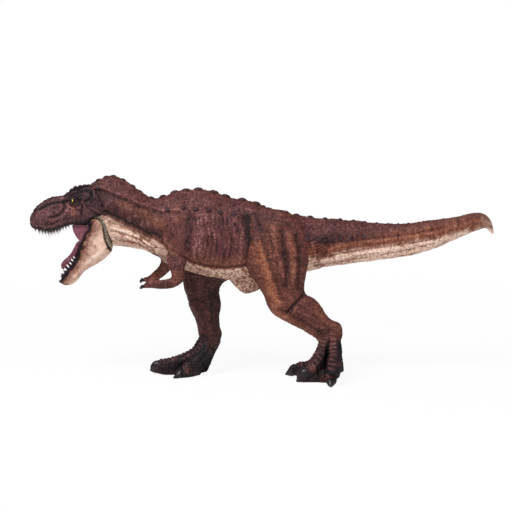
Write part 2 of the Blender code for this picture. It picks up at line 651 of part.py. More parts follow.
def arm_rows(table, side):
    """An arm's outlines as rows in metres."""
    rows = smooth_rows(table, arm_steps)
    rows = rows * (*[arm_length] * 4, side * shoulder_half_width, arm_half_width)
    return rows + (shoulder_x, shoulder_z, shoulder_x, shoulder_z, 0, 0)


def digit(name, table, start, along, length, side):
    """A toe or a finger: upright outlines along a path from the start, narrowing to its claw. The
    table's first column is in the along size and the others are in the length."""
    rows = smooth_rows(table, toe_steps)
    centre = rows[:, 0:3] * (along, side * length, length) + start
    heading = np.gradient(centre[:, 0:2], axis=0)
    heading /= np.linalg.norm(heading, axis=1)[:, None]
    angle = np.linspace(0, 2 * np.pi, toe_sides, endpoint=False)
    reach = rows[:, 4:5] * length * np.cos(angle)
    rise = rows[:, 3:4] * length * np.sin(angle)
    x = centre[:, 0:1] - heading[:, 1:2] * reach
    y = centre[:, 1:2] + heading[:, 0:1] * reach
    return loft(name, np.stack((x, y, centre[:, 2:3] + rise), axis=2))


def make_leg(name, side, table, toes, material):
    """One leg down to its toes, cut to sit on the torso's flank, with its peg and a flat sole."""
    x, z = leg_peg_place(name)
    leg = loft(f"leg_{name}", rings_of(leg_rows(table, side), leg_sides), material, (x, 0, z))
    for place, toe in enumerate(toes):
        start = (hip_x, 0, -sole_sink)
        join(leg, digit(f"toe_{name}_{place}", toe, start, leg_reach, leg_length, side))
    cut(leg, loft(f"torso_clearance_leg_{name}", torso_rings(seat_gap)))
    inner, outer = flank_y(x, z) - leg_peg_length, flank_y(x, z) + overrun / 2
    join(leg, rod(f"leg_peg_{name}", (x, side * inner, z), (x, side * outer, z), leg_peg_diameter / 2))
    front, back = hip_x - torso_length, hip_x + torso_length
    ground = ((front, 0), (back, 0), (back, -leg_length), (front, -leg_length))
    cut(leg, block(f"ground_{name}", ground, leg_length))
    return leg


def make_arm(name, side, table, fingers, material):
    """One small arm with two fingers, cut to sit on the torso's flank, with its peg."""
    x, z = arm_peg_place()
    arm = loft(f"arm_{name}", rings_of(arm_rows(table, side), arm_sides), material, (x, 0, z))
    for place, finger in enumerate(fingers):
        start = (shoulder_x, 0, shoulder_z)
        join(arm, digit(f"finger_{name}_{place}", finger, start, arm_length, arm_length, side))
    cut(arm, loft(f"torso_clearance_arm_{name}", torso_rings(seat_gap)))
    inner, outer = flank_y(x, z) - arm_peg_length, flank_y(x, z) + overrun / 4
    join(arm, rod(f"arm_peg_{name}", (x, side * inner, z), (x, side * outer, z), arm_peg_diameter / 2))
    return arm


def skull_rows(steps=skull_steps):
    """The skull's outlines as rows in metres."""
    rows = smooth_rows(skull_shares, steps)
    rows = rows * (head_length, head_length, head_length, head_length, head_half_width)
    rows += (neck_x, hinge_z, neck_x, hinge_z, 0)
    return np.insert(rows, 4, 0, axis=1)


def skull_rings(gap=0.0):
    """The skull's surface, larger by the gap."""
    rows = widened(skull_rows(), gap) if gap else skull_rows()
    return rings_of(rows, skull_sides, skull_top_roundness, lip_roundness, skull_egg_share)


def skull_half_width(x):
    """The skull's half width at its lips, along the head."""
    rows = skull_rows()
    return np.interp(x, rows[:, 2], rows[:, 5])


def upper_lip(x):
    """The height of the upper lip's edge, along the head."""
    rows = skull_rows()
    return np.interp(x, rows[:, 2], rows[:, 3])


def palate_height(x):
    """The height of the upper mouth hollow's roof, along the head."""
    table = np.asarray(palate_shares) * head_length
    return hinge_z + np.interp(x, neck_x + table[:, 0], table[:, 1])


def place_on_head(share):
    return neck_x + head_length * share[0], hinge_z + head_length * share[1]


def mouth_hollow_rows(inset, drop, steps=mouth_steps):
    """Rows of the upper mouth's hollow, inset from the skull's side, its roof lowered by drop."""
    table = smooth_rows(palate_shares, steps)
    x = neck_x + head_length * table[:, 0]
    roof = hinge_z + head_length * table[:, 1] - drop
    half = skull_half_width(x) - inset
    return x, roof, half


def upper_mouth_rings(inset, drop):
    """Outlines of the upper mouth's hollow, inset from the skull's side, its roof lowered by drop."""
    x, roof, half = mouth_hollow_rows(inset, drop)
    rows = np.stack((x, roof, x, roof - head_length / 2, 0 * x, half), axis=1)
    return rings_of(rows, mouth_sides, upper=mouth_roof_roundness, lower=lip_roundness)


def make_skull(material):
    """The upper head, hollow under its palate, with sockets for the eyes and the neck peg."""
    skull = loft("skull", skull_rings(), material, (hinge_x, 0, hinge_z))
    for side, name in ((-1, "left"), (1, "right")):
        x, z = place_on_head(brow_horn_place_share)
        y = side * head_half_width * brow_horn_out_share
        along, up = (head_length * share for share in brow_horn_reach_share)
        join(skull, ball(f"brow_horn_{name}", (x, y, z), (along, brow_horn_height, up), 10, 5))
    cut(skull, neck_blocker("skull_neck_blocker"))
    ends = neck_peg_ends(peg_socket_depth_gap)
    cut(skull, rod("neck_peg_socket", *ends, neck_peg_diameter / 2 + seat_gap))
    cut(skull, loft("mouth_hollow", upper_mouth_rings(lip_wall, 0)))
    cut(skull, hinge_room())
    for side, name in ((-1, "left"), (1, "right")):
        x, z = place_on_head(eye_place_share)
        socket = [eye_radius + seat_gap] * 3
        bead = (x, side * eye_y(), z)
        cut(skull, ball(f"eye_socket_{name}", bead, socket, bead_sides, bead_rows))
        x, z = place_on_head(nostril_place_share)
        half = np.interp(x, skull_rows()[:, 0], skull_rows()[:, 5])
        radii = (nostril_radius * nostril_stretch_share, nostril_radius, nostril_radius)
        cut(skull, ball(f"nostril_{name}", (x, side * half * nostril_out_share, z), radii, 10, 5))
        x, z = place_on_head(cheek_hollow_place_share)
        half = skull_half_width(x)
        along, up = (head_length * share for share in cheek_hollow_reach_share)
        hollow = (along, 2 * cheek_hollow_depth, up)
        cut(skull, ball(f"cheek_hollow_{name}", (x, side * (half + cheek_hollow_depth), z), hollow, 14, 7))
    return skull


def hinge_room():
    """The room under the back of the skull where the jaw lobes and the throat core lie."""
    radius = jaw_lobe_radius + lobe_room
    turn = np.linspace(math.pi / 2, math.pi * 1.25, 10)
    arc = [(hinge_x + radius * math.cos(angle), hinge_z + radius * math.sin(angle)) for angle in turn]
    back, low = hinge_x + head_length, hinge_z - head_length
    outline = [(back, hinge_z + radius)] + arc + [(arc[-1][0], low), (back, low)]
    return block("hinge_room", outline, head_half_width * 2)


def eye_y():
    """How far out the eye beads sit."""
    rows = skull_rows()
    x = place_on_head(eye_place_share)[0]
    return np.interp(x, rows[:, 0], rows[:, 5]) * eye_out_share


def make_eye(name, side, material):
    x, z = place_on_head(eye_place_share)
    bead = (x, side * eye_y(), z)
    return ball(f"eye_{name}", bead, [eye_radius] * 3, bead_sides, bead_rows, material)


def make_palate(material):
    """The mouth's roof, seated in the skull's hollow above the gum strip."""
    rings = upper_mouth_rings(lip_wall + seat_gap, seat_gap)
    front, back = rings[0, 0, 0] + seat_gap, rings[-1, 0, 0] - seat_gap
    rings[:, :, 0] = np.clip(rings[:, :, 0], front, back)
    palate = loft("palate", rings, material)
    x = np.linspace(front - overrun, back + overrun, mouth_steps)
    cut(palate, side_of_curve("under_palate", x, palate_height(x) - palate_thickness, -head_length))
    return palate


def row_path(x, half, height):
    """A horseshoe path from the left rear round the front to the right rear."""
    side = np.stack((x[::-1], -half[::-1], height[::-1]), axis=1)
    other = np.stack((x, half, height), axis=1)
    return np.vstack((side, other))


def gum_strip(name, path, material):
    """A strip of gum along a horseshoe path, with its top edge on the path's height."""
    steps = smooth_rows(path, gum_steps)
    heading = np.gradient(steps[:, 0:2], axis=0)
    heading /= np.linalg.norm(heading, axis=1)[:, None]
    angle = np.linspace(0, 2 * np.pi, gum_sides, endpoint=False) + math.pi / gum_sides
    reach = gum_width / 2 * np.cos(angle)
    rise = gum_height / 2 * np.sin(angle)
    x = steps[:, 0:1] - heading[:, 1:2] * reach
    y = steps[:, 1:2] + heading[:, 0:1] * reach
    z = steps[:, 2:3] + rise
    return loft(name, np.stack((x, y, z), axis=2), material), steps


def tooth_row(name, path, teeth, way):
    """Pointed teeth along both halves of a horseshoe path, pointing up or down, as one filler object."""
    points, faces = [], []
    run = np.concatenate(([0], np.cumsum(np.linalg.norm(np.diff(path, axis=0), axis=1))))
    for share, size in teeth:
        for half in (share / 2, 1 - share / 2):
            at = half * run[-1]
            centre = np.array([np.interp(at, run, path[:, axis]) for axis in range(3)])
            length = tooth_length * size
            first = len(points)
            for level, width, back in tooth_level_shares:
                radius = tooth_width / 2 * width * (tooth_slim_share + (1 - tooth_slim_share) * size)
                for turn in np.linspace(0, 2 * np.pi, 5, endpoint=False):
                    x = centre[0] + radius * math.cos(turn) * tooth_oval_shares[0] + back * length
                    y = centre[1] + radius * math.sin(turn) * tooth_oval_shares[1]
                    z = centre[2] + way * (gum_height / 3 + level * length)
                    points.append((x, y, z))
            faces.append(tuple(first + corner for corner in range(5)))
            faces.append(tuple(first + 10 + corner for corner in reversed(range(5))))
            for level in (0, 5):
                for step in range(5):
                    after = (step + 1) % 5
                    low, high = first + level, first + level + 5
                    faces.append((low + step, low + after, high + after, high + step))
    return solid(name, points, faces)


def make_upper_teeth(material):
    """The upper gum strip with its teeth, inside the upper lip."""
    inset = lip_wall + seat_gap + gum_width / 2
    x, roof, half = mouth_hollow_rows(inset, 0)
    height = upper_lip(x) + gum_height / 2
    front = x[0] + seat_gap + gum_width / 2
    keep = (x > front) & (x < hinge_x - lining_radius - seat_gap)
    path = row_path(x[keep], half[keep] - seat_gap, height[keep])
    middle = len(path) // 2
    nose = [(front, -half[keep][0] / 2, height[keep][0]), (front, half[keep][0] / 2, height[keep][0])]
    path = np.vstack((path[:middle], nose, path[middle:]))
    gum, steps = gum_strip("upper_teeth", path, material)
    join(gum, tooth_row("upper_tooth_row", steps, upper_tooth_shares, -1))
    return gum


def jaw_rows(steps=jaw_steps, inset=0.0, lift=0.0):
    """The lower jaw's outlines as rows in metres, shut, with the hinge as origin."""
    rows = smooth_rows(jaw_shares, steps)
    rows = rows * (-head_length, head_length, -head_length, head_length, jaw_half_width)
    rows[:, 3] += lift
    rows[:, 4] -= inset
    return np.insert(rows, 4, 0, axis=1)


def jaw_lip(x):
    """The shut jaw's lip height and half width at a place along it."""
    rows = jaw_rows()[::-1]
    return np.interp(x, rows[:, 0], rows[:, 1]), np.interp(x, rows[:, 0], rows[:, 5])


def in_jaw(thing, hinge):
    thing.parent = hinge
    return thing


def make_lower_jaw(hinge, material):
    """The lower jaw: a trough with two side plates that carry the hinge pin."""
    rings = rings_of(jaw_rows(), jaw_sides, lip_roundness, jaw_foot_roundness)
    jaw = in_jaw(loft("lower_jaw", rings, material), hinge)
    join(jaw, in_jaw(cross_rod("jaw_lobes", jaw_half_width, jaw_lobe_radius), hinge))
    cut(jaw, in_jaw(loft("jaw_trough", trough_rings(lip_wall, jaw_floor_thickness)), hinge))
    cut(jaw, in_jaw(core_room("core_room"), hinge))
    bore = hinge_pin_length / 2 + seat_gap
    radius = hinge_pin_diameter / 2 + seat_gap
    cut(jaw, in_jaw(cross_rod("jaw_pin_bore", bore, radius, pin_sides), hinge))
    return jaw


def cross_rod(name, half_length, radius, sides=round_sides):
    """A cylinder across the jaw, on the hinge's axis."""
    return rod(name, (0, -half_length, 0), (0, half_length, 0), radius, sides)


def core_room(name):
    """The room that the throat core needs in the pieces of the jaw."""
    return cross_rod(name, core_half_width + seat_gap, core_radius + seat_gap, 2 * round_sides)


def trough_rings(inset, lift):
    """Outlines inside the lower jaw, inset from its sides, lifted off its floor and open past its lip."""
    rows = jaw_rows(mouth_steps, inset, lift)
    rows = rows[(rows[:, 5] > inset) & (rows[:, 1] - rows[:, 3] > 2 * lift)]
    rows[:, 1] += head_length / 4
    return rings_of(rows, mouth_sides, upper=lip_roundness, lower=trough_roundness)


def make_mouth_floor(hinge, material):
    """The floor of the mouth, seated in the jaw's trough inside the gum strip."""
    rings = trough_rings(lip_wall + gum_width + 3 * seat_gap, jaw_floor_thickness + seat_gap)
    floor = in_jaw(loft("mouth_floor", rings, material), hinge)
    x = np.linspace(-head_length - overrun, 0, mouth_steps)
    cut(floor, in_jaw(side_of_curve("over_floor", x, jaw_lip(x)[0] - gum_height, head_length), hinge))
    cut(floor, in_jaw(core_room("floor_core_room"), hinge))
    cut(floor, in_jaw(loft("tongue_room", tongue_rings(seat_gap)), hinge))
    return floor


def make_lower_teeth(hinge, material):
    """The lower gum strip with its teeth, inside the lower lip."""
    reach = np.linspace(*lower_gum_reach_shares, gum_steps) * -head_length
    lip, half = jaw_lip(reach)
    half = half - lip_wall - seat_gap - gum_width / 2
    height = lip - gum_height / 2
    path = row_path(reach[::-1], half[::-1], height[::-1])
    gum, steps = gum_strip("lower_teeth", path, material)
    join(gum, in_jaw(tooth_row("lower_tooth_row", steps, lower_tooth_shares, 1), hinge))
    return in_jaw(gum, hinge)


def tongue_rings(gap=0.0):
    """The tongue's surface, larger by the gap."""
    rows = smooth_rows(tongue_shares, tongue_steps)
    x, top = -head_length * rows[:, 0], head_length * rows[:, 1]
    foot = jaw_lip(x)[0] - gum_height + seat_gap + head_length * rows[:, 2]
    rows = np.stack((x, top, x, foot, 0 * x, tongue_half_width * rows[:, 3]), axis=1)
    return rings_of(widened(rows, gap) if gap else rows, tongue_sides)


def make_tongue(hinge, material):
    """The tongue, lying in the mouth with its tip turned up."""
    tongue = in_jaw(loft("tongue", tongue_rings(), material), hinge)
    reach = core_half_width + overrun
    cut(tongue, in_jaw(cross_rod("lining_room", reach, lining_radius + seat_gap), hinge))
    return tongue


def core_outline(radius, front):
    """The throat core's side outline: round above and below about the hinge, flat in front."""
    shoulder = np.linspace(math.pi / 2, math.pi - math.acos(front / jaw_lobe_radius), 5)
    below = np.linspace(math.pi * 1.5 - math.asin(front / radius), 2 * math.pi, 16)
    upper = [(jaw_lobe_radius * math.cos(angle), jaw_lobe_radius * math.sin(angle)) for angle in shoulder]
    lower = [(radius * math.cos(angle), radius * math.sin(angle)) for angle in below]
    return [(hinge_x + x, hinge_z + z) for x, z in upper + lower + [(radius, jaw_lobe_radius)]]


def make_throat_core(material):
    """The block between the neck, the skull and the jaw that carries the hinge pin."""
    outline = core_outline(core_radius, core_front_reach)
    core = block("throat_core", outline, core_half_width, material, (hinge_x, 0, hinge_z))
    cut(core, neck_blocker("core_neck_blocker"))
    reach, radius = core_half_width + overrun, hinge_pin_diameter / 2 + seat_gap
    ends = (hinge_x, -reach, hinge_z), (hinge_x, reach, hinge_z)
    cut(core, rod("core_pin_bore", *ends, radius, pin_sides))
    z = core_peg_height()
    ends = (hinge_x + hinge_pin_diameter, 0, z), (neck_foot[0] + overrun, 0, z)
    join(core, rod("core_peg", *ends, core_peg_diameter / 2))
    x, z = lining_peg_place()
    ends = (x - overrun, 0, z), (x + lining_peg_length + peg_socket_depth_gap, 0, z)
    cut(core, rod("lining_peg_socket", *ends, lining_peg_diameter / 2 + seat_gap))
    return core


def lining_peg_place():
    """Where the lining's peg enters the core's front face."""
    return hinge_x - core_front_reach, hinge_z - lining_radius / 2


def make_mouth_lining(material):
    """The cheek and throat lining that shows between the jaws, on the core's front face."""
    front = hinge_x - core_front_reach - seat_gap
    top = hinge_z - seat_gap
    start = math.asin(min(seat_gap / lining_radius, 1))
    stop = math.acos((core_front_reach + seat_gap) / lining_radius)
    turn = np.linspace(math.pi + start, math.pi + stop, 12)
    arc = np.stack((np.cos(turn), np.sin(turn)), axis=1) * lining_radius + (hinge_x, hinge_z)
    lining = block("mouth_lining", np.vstack(((front, top), arc)), core_half_width, material)
    x, z = lining_peg_place()
    ends = (front - overrun, 0, z), (x + lining_peg_length, 0, z)
    join(lining, rod("lining_peg", *ends, lining_peg_diameter / 2))
    centre = (hinge_x - lining_radius, 0, hinge_z - lining_radius / 2)
    hollow = (lining_radius / 3, core_half_width / 2, lining_radius / 3)
    cut(lining, ball("throat_hollow", centre, hollow, 14, 7))
    cut(lining, loft("skull_clearance", skull_rings(seat_gap)))
    return lining


def make_jaw_pin(material):
    """The steel axle through the core and into both side plates of the jaw."""
    half = hinge_pin_length / 2
    ends = (hinge_x, -half, hinge_z), (hinge_x, half, hinge_z)
    return rod("jaw_pin", *ends, hinge_pin_diameter / 2, pin_sides, material, (hinge_x, 0, hinge_z))


def make_hinge():
    """The empty on the jaw's axis, turned to the open mouth."""
    hinge = bpy.data.objects.new("jaw_hinge", None)
    hinge.location = (hinge_x, 0, hinge_z)
    hinge.rotation_euler = (0, jaw_open_angle, 0)
    hinge.empty_display_size = jaw_lobe_radius
    bpy.context.scene.collection.objects.link(hinge)
    return hinge


def main():
    clear_scene()
    skin = finish("brown skin", "#6a4036", 0.55)
    leg_skin = finish("dark leg skin", "#4a2f2c", 0.55)
    jaw_skin = finish("pale jaw skin", "#c2a08c", 0.55)
    grey = finish("olive throat block", "#8d8068", 0.6)
    pink = finish("pink mouth", "#9a5566", 0.45)
    ivory = finish("ivory teeth", "#e6dcc4", 0.35)
    yellow = finish("yellow eye", "#d8c83c", 0.2)
    steel = finish("steel", "#b8b8b8", 0.3, 1.0)
    hinge = make_hinge()
    make_torso(skin)
    make_tail(skin)
    make_skull(skin)
    make_palate(pink)
    make_upper_teeth(ivory)
    make_throat_core(grey)
    make_mouth_lining(pink)
    make_jaw_pin(steel)
    make_lower_jaw(hinge, jaw_skin)
    make_mouth_floor(hinge, pink)
    make_lower_teeth(hinge, ivory)
    make_tongue(hinge, pink)
    for side, name in ((-1, "left"), (1, "right")):
        make_eye(name, side, yellow)
    make_leg("left", -1, left_leg_shares, left_toe_shares, leg_skin)
    make_leg("right", 1, right_leg_shares, right_toe_shares, leg_skin)
    make_arm("left", -1, left_arm_shares, left_finger_shares, leg_skin)
    make_arm("right", 1, right_arm_shares, right_finger_shares, leg_skin)


main()
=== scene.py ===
# %% [markdown]
# # A standing toy dinosaur with a hinged jaw
#
# The figure is cast in soft vinyl in a few mouldings, washed with dark paint that stays in the
# creases, and dry brushed with lighter paint that catches the tops of the scales. This lesson builds
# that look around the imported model, which gives the pieces, their places and the jaw's hinge.
# Every skin is a surface worked out with numpy from outlines along the body, fused where a limb and
# its toes are one moulding, and then pushed in and out by folds, muscles and scales.

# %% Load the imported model
import json
import math

import bmesh
import bpy
import numpy as np
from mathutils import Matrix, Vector
from mathutils.bvhtree import BVHTree


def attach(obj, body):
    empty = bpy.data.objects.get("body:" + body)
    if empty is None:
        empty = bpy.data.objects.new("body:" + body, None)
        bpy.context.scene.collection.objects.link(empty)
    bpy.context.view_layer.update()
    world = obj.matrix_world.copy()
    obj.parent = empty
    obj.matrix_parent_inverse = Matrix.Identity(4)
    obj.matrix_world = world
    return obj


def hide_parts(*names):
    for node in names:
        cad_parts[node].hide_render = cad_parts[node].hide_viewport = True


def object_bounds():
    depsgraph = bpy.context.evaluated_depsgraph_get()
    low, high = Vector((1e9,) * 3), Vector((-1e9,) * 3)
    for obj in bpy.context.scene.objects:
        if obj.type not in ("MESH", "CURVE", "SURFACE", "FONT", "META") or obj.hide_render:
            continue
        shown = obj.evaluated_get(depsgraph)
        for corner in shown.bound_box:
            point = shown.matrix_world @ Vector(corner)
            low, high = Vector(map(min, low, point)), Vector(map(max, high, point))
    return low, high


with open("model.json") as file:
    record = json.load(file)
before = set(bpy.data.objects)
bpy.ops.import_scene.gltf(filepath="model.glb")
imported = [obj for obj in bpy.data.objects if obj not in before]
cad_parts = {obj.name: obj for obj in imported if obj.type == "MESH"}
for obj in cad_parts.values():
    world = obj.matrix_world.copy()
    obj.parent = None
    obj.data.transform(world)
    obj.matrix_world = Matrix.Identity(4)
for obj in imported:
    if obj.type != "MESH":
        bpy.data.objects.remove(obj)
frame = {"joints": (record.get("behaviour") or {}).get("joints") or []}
cad_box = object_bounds()

# %% [markdown]
# ## Sizes
#
# The skins follow the same outlines as the solids, so the lesson repeats their sizes and their tables
# of shares. A row of a table is one outline: its top end, its foot end, and how wide it is.

# %% Sizes of the figure, in metres
torso_length = 0.1506
torso_depth = 0.0676
torso_half_width = 0.0176
tail_length = 0.1176
head_length = 0.0414
head_half_width = 0.0114
jaw_half_width = 0.0108
leg_length = 0.0935
leg_half_width = 0.0092
stance_half_width = 0.012
arm_length = 0.0254
arm_half_width = 0.0033
shoulder_half_width = 0.0168
seat_gap = 0.0003
jaw_open_angle = math.radians(-54)
jaw_lobe_radius = 0.0038
core_radius = 0.0183
core_half_width = 0.0086
core_front_reach = 0.0036
lobe_room = 0.0009
lining_radius = 0.0153
lip_wall = 0.0011
jaw_floor_thickness = 0.0018
gum_width = 0.0011
gum_height = 0.0017
tooth_length = 0.0034
tooth_width = 0.0011
tongue_half_width = 0.0035
eye_radius = 0.0012
mm = 0.001

# %% Sizes of the skins' faces
torso_grain = 0.535 * mm
tail_grain = 0.4 * mm
leg_grain = 0.42 * mm
arm_grain = 0.22 * mm
head_grain = 0.28 * mm
solid_grain = 0.35 * mm
mouth_grain = 0.3 * mm
hair = 2e-5

# %% Outlines in thousandths: along, up, along, up, across


def shares(table):
    return np.array(table) / 1000


torso_shares = shares((
    (0, 570, 94, -60, 560), (20, 592, 109, -62, 570), (49, 618, 126, -64, 580),
    (86, 640, 149, -70, 590), (126, 617, 173, -77, 610), (171, 555, 202, -86, 640),
    (220, 475, 237, -103, 680), (273, 415, 277, -155, 740), (326, 445, 317, -220, 820),
    (379, 488, 366, -270, 900), (432, 500, 419, -305, 955), (494, 505, 486, -345, 990),
    (557, 468, 552, -375, 1000), (619, 420, 619, -400, 980), (681, 397, 681, -410, 940),
    (743, 355, 743, -400, 890), (805, 290, 805, -375, 830), (876, 260, 876, -350, 760),
    (938, 240, 938, -320, 690), (1000, 220, 1000, -285, 635),
))
keel_shares = shares((
    (560, -300, 580, -360, 100), (595, -280, 605, -400, 240), (635, -270, 635, -475, 320),
    (675, -260, 670, -535, 360), (715, -260, 705, -530, 350), (750, -280, 740, -490, 280),
    (770, -320, 765, -420, 120),
))
flank_shares = shares((
    (440, 20, 60, 220, 100), (300, 50, 80, 100, -70), (800, 60, 80, 160, 100),
    (670, -50, 25, 300, -100), (180, 300, 120, 120, 80),
))
tail_shares = shares((
    (0, 220, 0, -285, 635), (90, 210, 90, -252, 580), (180, 200, 180, -233, 520),
    (270, 182, 270, -220, 465), (360, 168, 360, -197, 415), (455, 166, 455, -175, 370),
    (545, 176, 550, -143, 325), (635, 200, 650, -93, 280), (720, 220, 740, -23, 235),
    (795, 242, 820, 35, 200), (860, 267, 880, 82, 165), (905, 276, 920, 110, 140),
    (945, 255, 945, 117, 115), (975, 200, 960, 105, 90), (990, 130, 970, 85, 65),
    (997, 75, 977, 60, 35),
))
skull_shares = shares((
    (-1003, 56, -998, -20, 160), (-976, 142, -955, -93, 400), (-911, 233, -887, -126, 520),
    (-830, 302, -806, -142, 600), (-734, 364, -702, -145, 650), (-637, 403, -605, -132, 680),
    (-540, 419, -492, -91, 700), (-444, 429, -379, -51, 750), (-363, 496, -282, -27, 830),
    (-282, 557, -200, -16, 900), (-185, 587, -105, 0, 970), (-89, 602, -10, 46, 1000),
    (14, 594, 170, 123, 990), (60, 587, 260, 132, 970),
))
palate_shares = shares(
    ((-945, -20), (-900, 10), (-800, 35), (-650, 55), (-500, 75), (-350, 90), (-200, 100))
)
jaw_shares = shares((
    (-60, 20, 150, -450, 930), (30, 75, 240, -480, 1000), (140, 45, 355, -465, 1010),
    (240, 27, 465, -435, 960), (350, 12, 565, -395, 870), (470, -10, 660, -350, 760),
    (595, -47, 765, -315, 670), (715, -77, 865, -310, 630), (840, -84, 960, -303, 580),
    (960, -74, 1055, -268, 510), (1065, -60, 1120, -200, 390), (1130, -75, 1140, -125, 180),
))
left_leg_shares = shares((
    (-110, 1245, 90, 1230, 670, 300), (-190, 1159, 170, 1144, 760, 700),
    (-210, 1033, 215, 1018, 850, 900), (-210, 911, 225, 896, 910, 990),
    (-190, 807, 220, 800, 950, 1000), (-130, 704, 210, 709, 980, 940), (-80, 613, 210, 663, 1000, 880),
    (-40, 519, 225, 633, 1020, 830), (30, 466, 280, 602, 1030, 810), (107, 425, 330, 552, 1040, 770),
    (186, 387, 365, 491, 1040, 700), (250, 347, 400, 452, 1040, 630), (300, 309, 462, 423, 1030, 570),
    (316, 270, 481, 352, 1020, 550), (297, 235, 476, 265, 1010, 560), (259, 190, 476, 178, 1000, 620),
    (226, 138, 484, 105, 1000, 680), (240, 64, 478, 41, 1000, 700), (260, -20, 465, -20, 1000, 640),
))
right_leg_shares = shares((
    (-160, 1210, 50, 1190, 670, 300), (-230, 1154, 155, 1048, 760, 700),
    (-310, 1114, 130, 916, 850, 900), (-410, 1053, 20, 815, 910, 970), (-505, 972, -107, 765, 950, 970),
    (-585, 891, -235, 722, 980, 920), (-645, 812, -325, 698, 1000, 880),
    (-670, 732, -382, 662, 1020, 830), (-660, 653, -402, 606, 1030, 800),
    (-635, 565, -393, 551, 1040, 760), (-615, 493, -390, 493, 1040, 710),
    (-582, 417, -400, 435, 1040, 650), (-560, 344, -398, 362, 1030, 590),
    (-553, 276, -375, 294, 1020, 570), (-582, 226, -372, 226, 1010, 590),
    (-632, 182, -418, 154, 1000, 650), (-690, 142, -457, 88, 1000, 700),
    (-690, 61, -485, 38, 1000, 700), (-660, -20, -520, -20, 1000, 640),
))
left_toe_shares = [shares(digit) for digit in (
    (
        (350, 136, 54, 54, 46), (264, 136, 50, 51, 46), (200, 137, 40, 41, 39), (170, 138, 30, 26, 22),
        (150, 139, 12, 6, 6),
    ),
    (
        (340, 110, 64, 57, 44), (236, 60, 78, 56, 43), (168, 18, 72, 48, 37), (118, -8, 58, 34, 24),
        (75, -26, 28, 6, 6),
    ),
    (
        (400, 150, 70, 60, 45), (397, 210, 48, 50, 43), (394, 265, 38, 39, 38), (393, 302, 26, 22, 20),
        (395, 330, 10, 6, 6),
    ),
)]
right_toe_shares = [shares(digit) for digit in (
    (
        (-620, 130, 76, 76, 46), (-710, 130, 68, 68, 46), (-790, 130, 60, 60, 43),
        (-850, 130, 62, 48, 34), (-885, 130, 55, 27, 21), (-904, 130, 36, 6, 6),
    ),
    (
        (-560, 90, 62, 57, 46), (-620, 45, 50, 50, 45), (-672, 14, 43, 42, 38), (-703, -6, 27, 22, 20),
        (-730, -18, 9, 6, 6),
    ),
    (
        (-545, 160, 64, 57, 42), (-535, 215, 47, 47, 41), (-538, 265, 38, 39, 36),
        (-540, 302, 26, 22, 20), (-540, 330, 10, 6, 6),
    ),
)]
left_arm_shares = shares((
    (-260, 370, 340, 290, 600, 700), (-290, 160, 240, 80, 820, 960), (-225, -40, 190, -110, 920, 1000),
    (-165, -200, 205, -290, 980, 940), (-170, -300, 140, -420, 1000, 860),
    (-275, -345, -40, -550, 1000, 780), (-420, -365, -275, -600, 980, 740),
    (-550, -355, -510, -610, 950, 720), (-670, -340, -670, -590, 930, 740),
    (-760, -370, -760, -570, 910, 620), (-800, -410, -800, -520, 900, 320),
))
right_arm_shares = shares((
    (-480, 310, 50, 210, 600, 700), (-500, 80, -50, 20, 820, 960), (-480, -70, -120, -160, 920, 1000),
    (-520, -200, -200, -300, 980, 920), (-610, -310, -335, -440, 1000, 840),
    (-700, -390, -460, -530, 990, 780), (-780, -465, -580, -630, 970, 740),
    (-850, -510, -685, -670, 950, 720), (-880, -555, -760, -670, 930, 520),
    (-890, -600, -820, -660, 920, 280),
))
left_finger_shares = [shares(digit) for digit in (
    (
        (-700, 620, -410, 70, 70), (-840, 630, -375, 55, 55), (-930, 640, -375, 40, 35),
        (-990, 650, -400, 12, 12),
    ),
    (
        (-700, 580, -530, 70, 70), (-840, 580, -545, 55, 55), (-930, 585, -560, 40, 35),
        (-990, 590, -595, 12, 12),
    ),
)]
right_finger_shares = [shares(digit) for digit in (
    (
        (-800, 620, -550, 60, 60), (-900, 630, -560, 50, 50), (-980, 640, -600, 35, 30),
        (-1030, 650, -650, 12, 12),
    ),
    (
        (-760, 580, -620, 60, 60), (-840, 580, -660, 50, 50), (-900, 585, -710, 35, 30),
        (-940, 590, -760, 12, 12),
    ),
)]
tongue_shares = shares((
    (385, 45, -80, 800), (414, 50, -60, 900), (440, 56, 10, 980), (480, 60, 0, 1000),
    (540, 50, 0, 1000), (620, 40, 0, 1000), (700, 40, 0, 980), (800, 62, 20, 900), (880, 64, 50, 720),
    (930, 30, 85, 300),
))
upper_tooth_shares = shares((
    (70, 400), (140, 500), (210, 620), (280, 750), (350, 860), (420, 950), (490, 1000), (560, 920),
    (630, 980), (700, 800), (780, 620), (870, 500), (955, 420),
))
leg_mark_shares = (0.7, 1.3)
leg_mark_rise_shares = (-0.4219, 0.408)

# %% Places worked out from the sizes
axis_height = leg_length * 1.005
nose_reach = head_length * -skull_shares[0][0]
tail_end_reach = torso_length + tail_length * tail_shares[-1][0]
neck_x = (nose_reach - tail_end_reach) / 2
tail_root_x = neck_x + torso_length
leg_reach = torso_length * 0.6209
hip_x = neck_x + torso_length * 0.81
shoulder_x = neck_x + torso_length * 0.379
shoulder_z = axis_height - torso_depth * 0.22
hinge_x = neck_x + head_length * 0.056
hinge_z = axis_height + torso_depth * 0.177
neck_origin = np.array((neck_x, axis_height))
neck_scale = np.array((torso_length, torso_depth))
neck_top = neck_origin + neck_scale * torso_shares[0][0:2]
neck_foot = neck_origin + neck_scale * torso_shares[0][2:4]
neck_slope = math.atan2(neck_foot[0] - neck_top[0], neck_top[1] - neck_foot[1])
neck_forward = np.array((-math.cos(neck_slope), -math.sin(neck_slope)))
hinge = np.array((hinge_x, 0, hinge_z))
joint = frame["joints"][0]
print("jaw hinge off the packed joint by", np.abs(hinge - joint["pos_m"]).max() / mm, "mm")

